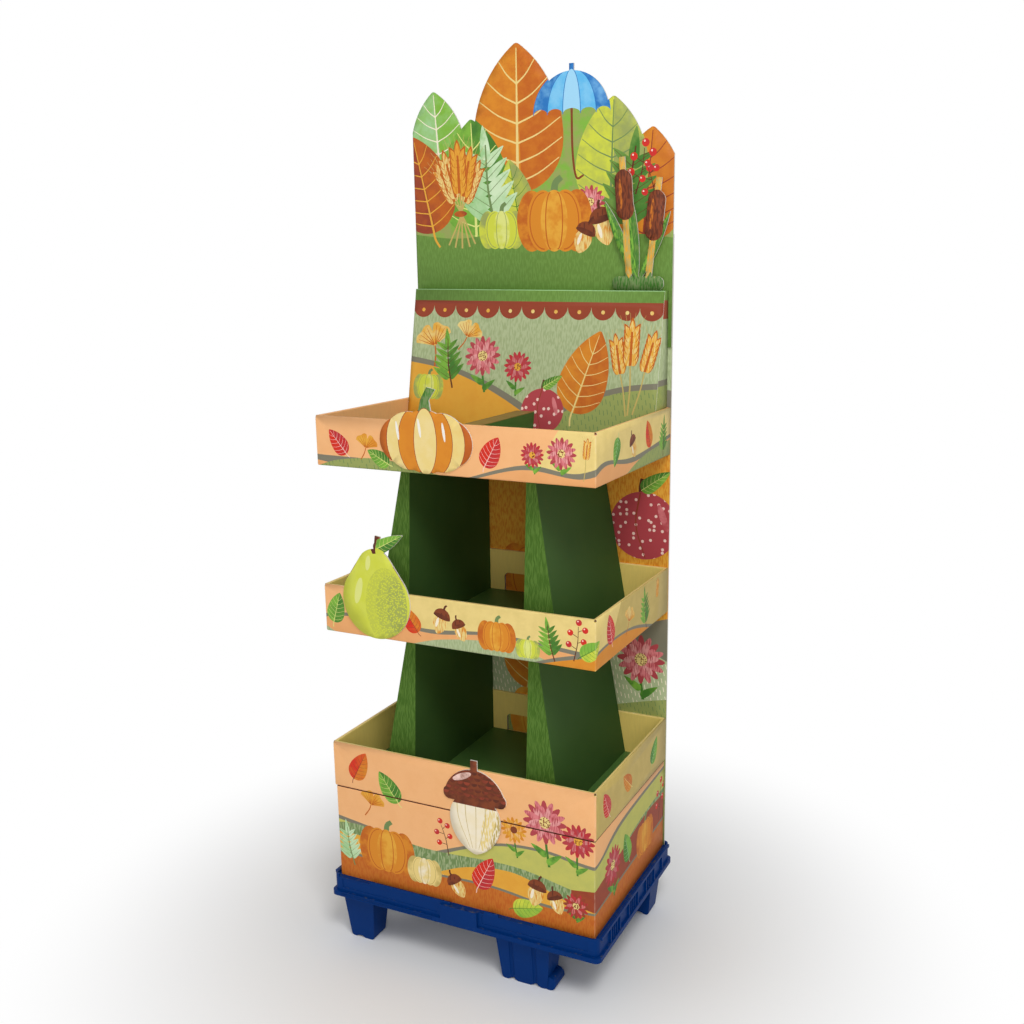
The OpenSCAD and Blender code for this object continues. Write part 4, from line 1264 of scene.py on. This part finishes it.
def flute_tree(material):
    """Nodes that make a wave along X and sweep a small square along it."""
    tree = bpy.data.node_groups.new("flute_core", "GeometryNodeTree")
    tree.interface.new_socket("Geometry", in_out="OUTPUT", socket_type="NodeSocketGeometry")
    sizes = {}
    for name, value in (("Length", 582), ("Pitch", FLUTE_PITCH), ("Height", 2.6), ("Paper", 0.4)):
        socket = tree.interface.new_socket(name, in_out="INPUT", socket_type="NodeSocketFloat")
        socket.default_value = value * MM
        sizes[name] = socket.identifier
    graph = Graph(tree)
    length, pitch, height, paper = (graph.node("NodeGroupInput", {}, {}, name) for name in sizes)
    steps_per_wave = 10
    ends = {"Start": graph.join(length * -0.5), "End": graph.join(length * 0.5)}
    line = graph.node("GeometryNodeCurvePrimitiveLine", {}, ends)
    points = {"Curve": line, "Count": length / pitch * steps_per_wave}
    fine = graph.node("GeometryNodeResampleCurve", {}, points)
    x, _, _ = graph.split(graph.node("GeometryNodeInputPosition", {}, {}))
    rise = (x / pitch * (2 * math.pi)).math("SINE") * (height * 0.5)
    wave = {"Geometry": fine, "Offset": graph.join(0.0, rise)}
    wavy = graph.node("GeometryNodeSetPosition", {}, wave)
    profile = graph.node("GeometryNodeCurvePrimitiveQuadrilateral", {}, {"Width": paper, "Height": paper})
    sweep = {"Curve": wavy, "Profile Curve": profile, "Fill Caps": True}
    swept = graph.node("GeometryNodeCurveToMesh", {}, sweep)
    real = graph.node("GeometryNodeRealizeInstances", {}, {"Geometry": swept})
    coated = graph.node("GeometryNodeSetMaterial", {}, {"Geometry": real, "Material": material})
    graph.plug(tree.nodes.new("NodeGroupOutput").inputs[0], coated)
    return tree, sizes


def flute_core():
    """The wave on the rear wall's top edge, as a plain mesh at its place."""
    low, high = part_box("rear_wall")
    tree, sizes = flute_tree(WHITE)
    holder = added("flute_holder", bpy.data.meshes.new("flute_holder"))
    wave = holder.modifiers.new("flutes", "NODES")
    wave.node_group = tree
    wave[sizes["Length"]] = (high.x - low.x) - CORE_INSET * MM
    wave[sizes["Height"]] = (high.y - low.y) - CORE_PAPERS * MM
    shape = holder.evaluated_get(bpy.context.evaluated_depsgraph_get())
    mesh = bpy.data.meshes.new_from_object(shape)
    bpy.data.objects.remove(holder)
    mesh.transform(Matrix.Translation((0, (low.y + high.y) / 2, high.z + CORE_LIFT * MM)))
    piece = added("rear_wall_flutes", mesh)
    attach(piece, "root")


def coat(material, *nodes):
    for name in nodes:
        slots = NODES[name].data.materials
        slots.clear()
        slots.append(material)


# Stage, light and camera

CAMERA_AT = (1.0159, -1.8819, 1.3817)
CAMERA_AZIMUTH, CAMERA_DIP = 23.47, 12.61
LENS_MM, SENSOR_MM, SHIFT = 38.48, 36.0, (-0.0772, 0.0015)
ROOM_LIGHT = 0.4
FLOOR_HALF, FLOOR_FADE = 6.0, (0.3, 1.05)


def floor():
    """Pale floor that fades into the white round it."""
    finish = Finish("pale_floor", 0.9, 0.1)
    x, y, _ = finish.split(finish.place())
    away = (x * x + y * y).math("SQRT")
    finish.set("Base Color", (0.9, 0.9, 0.9, 1))
    glow = finish.node("ShaderNodeEmission", {}, {"Color": (1, 1, 1, 1), "Strength": 1.0})
    surface = Value(finish, finish.shader.outputs[0])
    blend = finish.ramp(away, *FLOOR_FADE) * finish.white_rays()
    both = finish.node("ShaderNodeMixShader", {}, {0: blend, 1: surface, 2: glow})
    finish.plug(finish.tree.nodes["Material Output"].inputs["Surface"], both)
    corners = block(-FLOOR_HALF, -FLOOR_HALF, FLOOR_HALF, FLOOR_HALF)
    mesh = bpy.data.meshes.new("floor")
    mesh.from_pydata([(x, y, 0) for x, y in corners], [], [(0, 1, 2, 3)])
    mesh.materials.append(finish.material)
    plane = added("floor", mesh)


def lamp(name, place, aim, size, watts):
    light = bpy.data.lights.new(name, "AREA")
    light.size = size
    light.energy = watts
    holder = added(name, light)
    holder.location = place
    holder.rotation_mode = "QUATERNION"
    holder.rotation_quaternion = (Vector(aim) - Vector(place)).to_track_quat("-Z", "Y")


def lights():
    world = bpy.data.worlds.new("white_room")
    world.use_nodes = True
    bpy.context.scene.world = world
    graph = Graph(world.node_tree)
    background = graph.tree.nodes["Background"].inputs
    graph.plug(background["Color"], (1, 1, 1, 1))
    graph.plug(background["Strength"], graph.white_rays() * (1 - ROOM_LIGHT) + ROOM_LIGHT)
    middle = (0, 0, 0.9)
    lamp("key", (1.4, -3.3, 1.6), middle, 1.4, 22)
    lamp("fill", (-3.6, -2.8, 2.0), middle, 3.0, 24)
    lamp("ceiling", (1.7, -2.0, 3.6), middle, 1.2, 64)


def camera():
    data = bpy.data.cameras.new("photo_camera")
    data.lens = LENS_MM
    data.sensor_width = SENSOR_MM
    data.shift_x, data.shift_y = SHIFT
    holder = added("photo_camera", data)
    holder.location = CAMERA_AT
    holder.rotation_euler = (math.radians(90 - CAMERA_DIP), 0, math.radians(CAMERA_AZIMUTH))
    bpy.context.scene.camera = holder


PRINT = printed_paper("printed_paper")
TRAY_PRINT = printed_paper("tray_paper", TRAY_CORNER * MM)
PLINTH_PRINT = printed_paper("plinth_paper", PLINTH_CORNER * MM)
WHITE = white_board()

coat(WHITE, "rear_wall", "header", "header_cutout", "top_tray_cutout", "middle_tray_cutout", "plinth_cutout")
coat(kraft_board(), "plinth", "plinth_rib_long", "plinth_rib_left", "plinth_rib_right")
coat(tray_board("top_tray", "peach", "peach"), "top_tray")
for node in ("middle_tray", "bottom_tray"):
    coat(tray_board(node, "lining", "straw"), node)
coat(green_liner(), "bottom_liner", "middle_liner", "top_liner")
coat(bark_board(), "lower_left_upright", "lower_right_upright", "upper_left_upright", "upper_right_upright")
coat(divider_board(), "top_divider")
coat(riser_board(), "top_riser")
coat(foam_pad(), "header_spacers")
coat(pallet_plastic(), "pallet")

header_print()
riser_prints()
rear_wall_print()
top_tray_print()
middle_tray_print()
base_prints()
gourd_face()
fruit_face()
nut_face()
reed_face()
flute_core()

floor()
lights()
camera()
bpy.context.scene.view_settings.view_transform = "Standard"
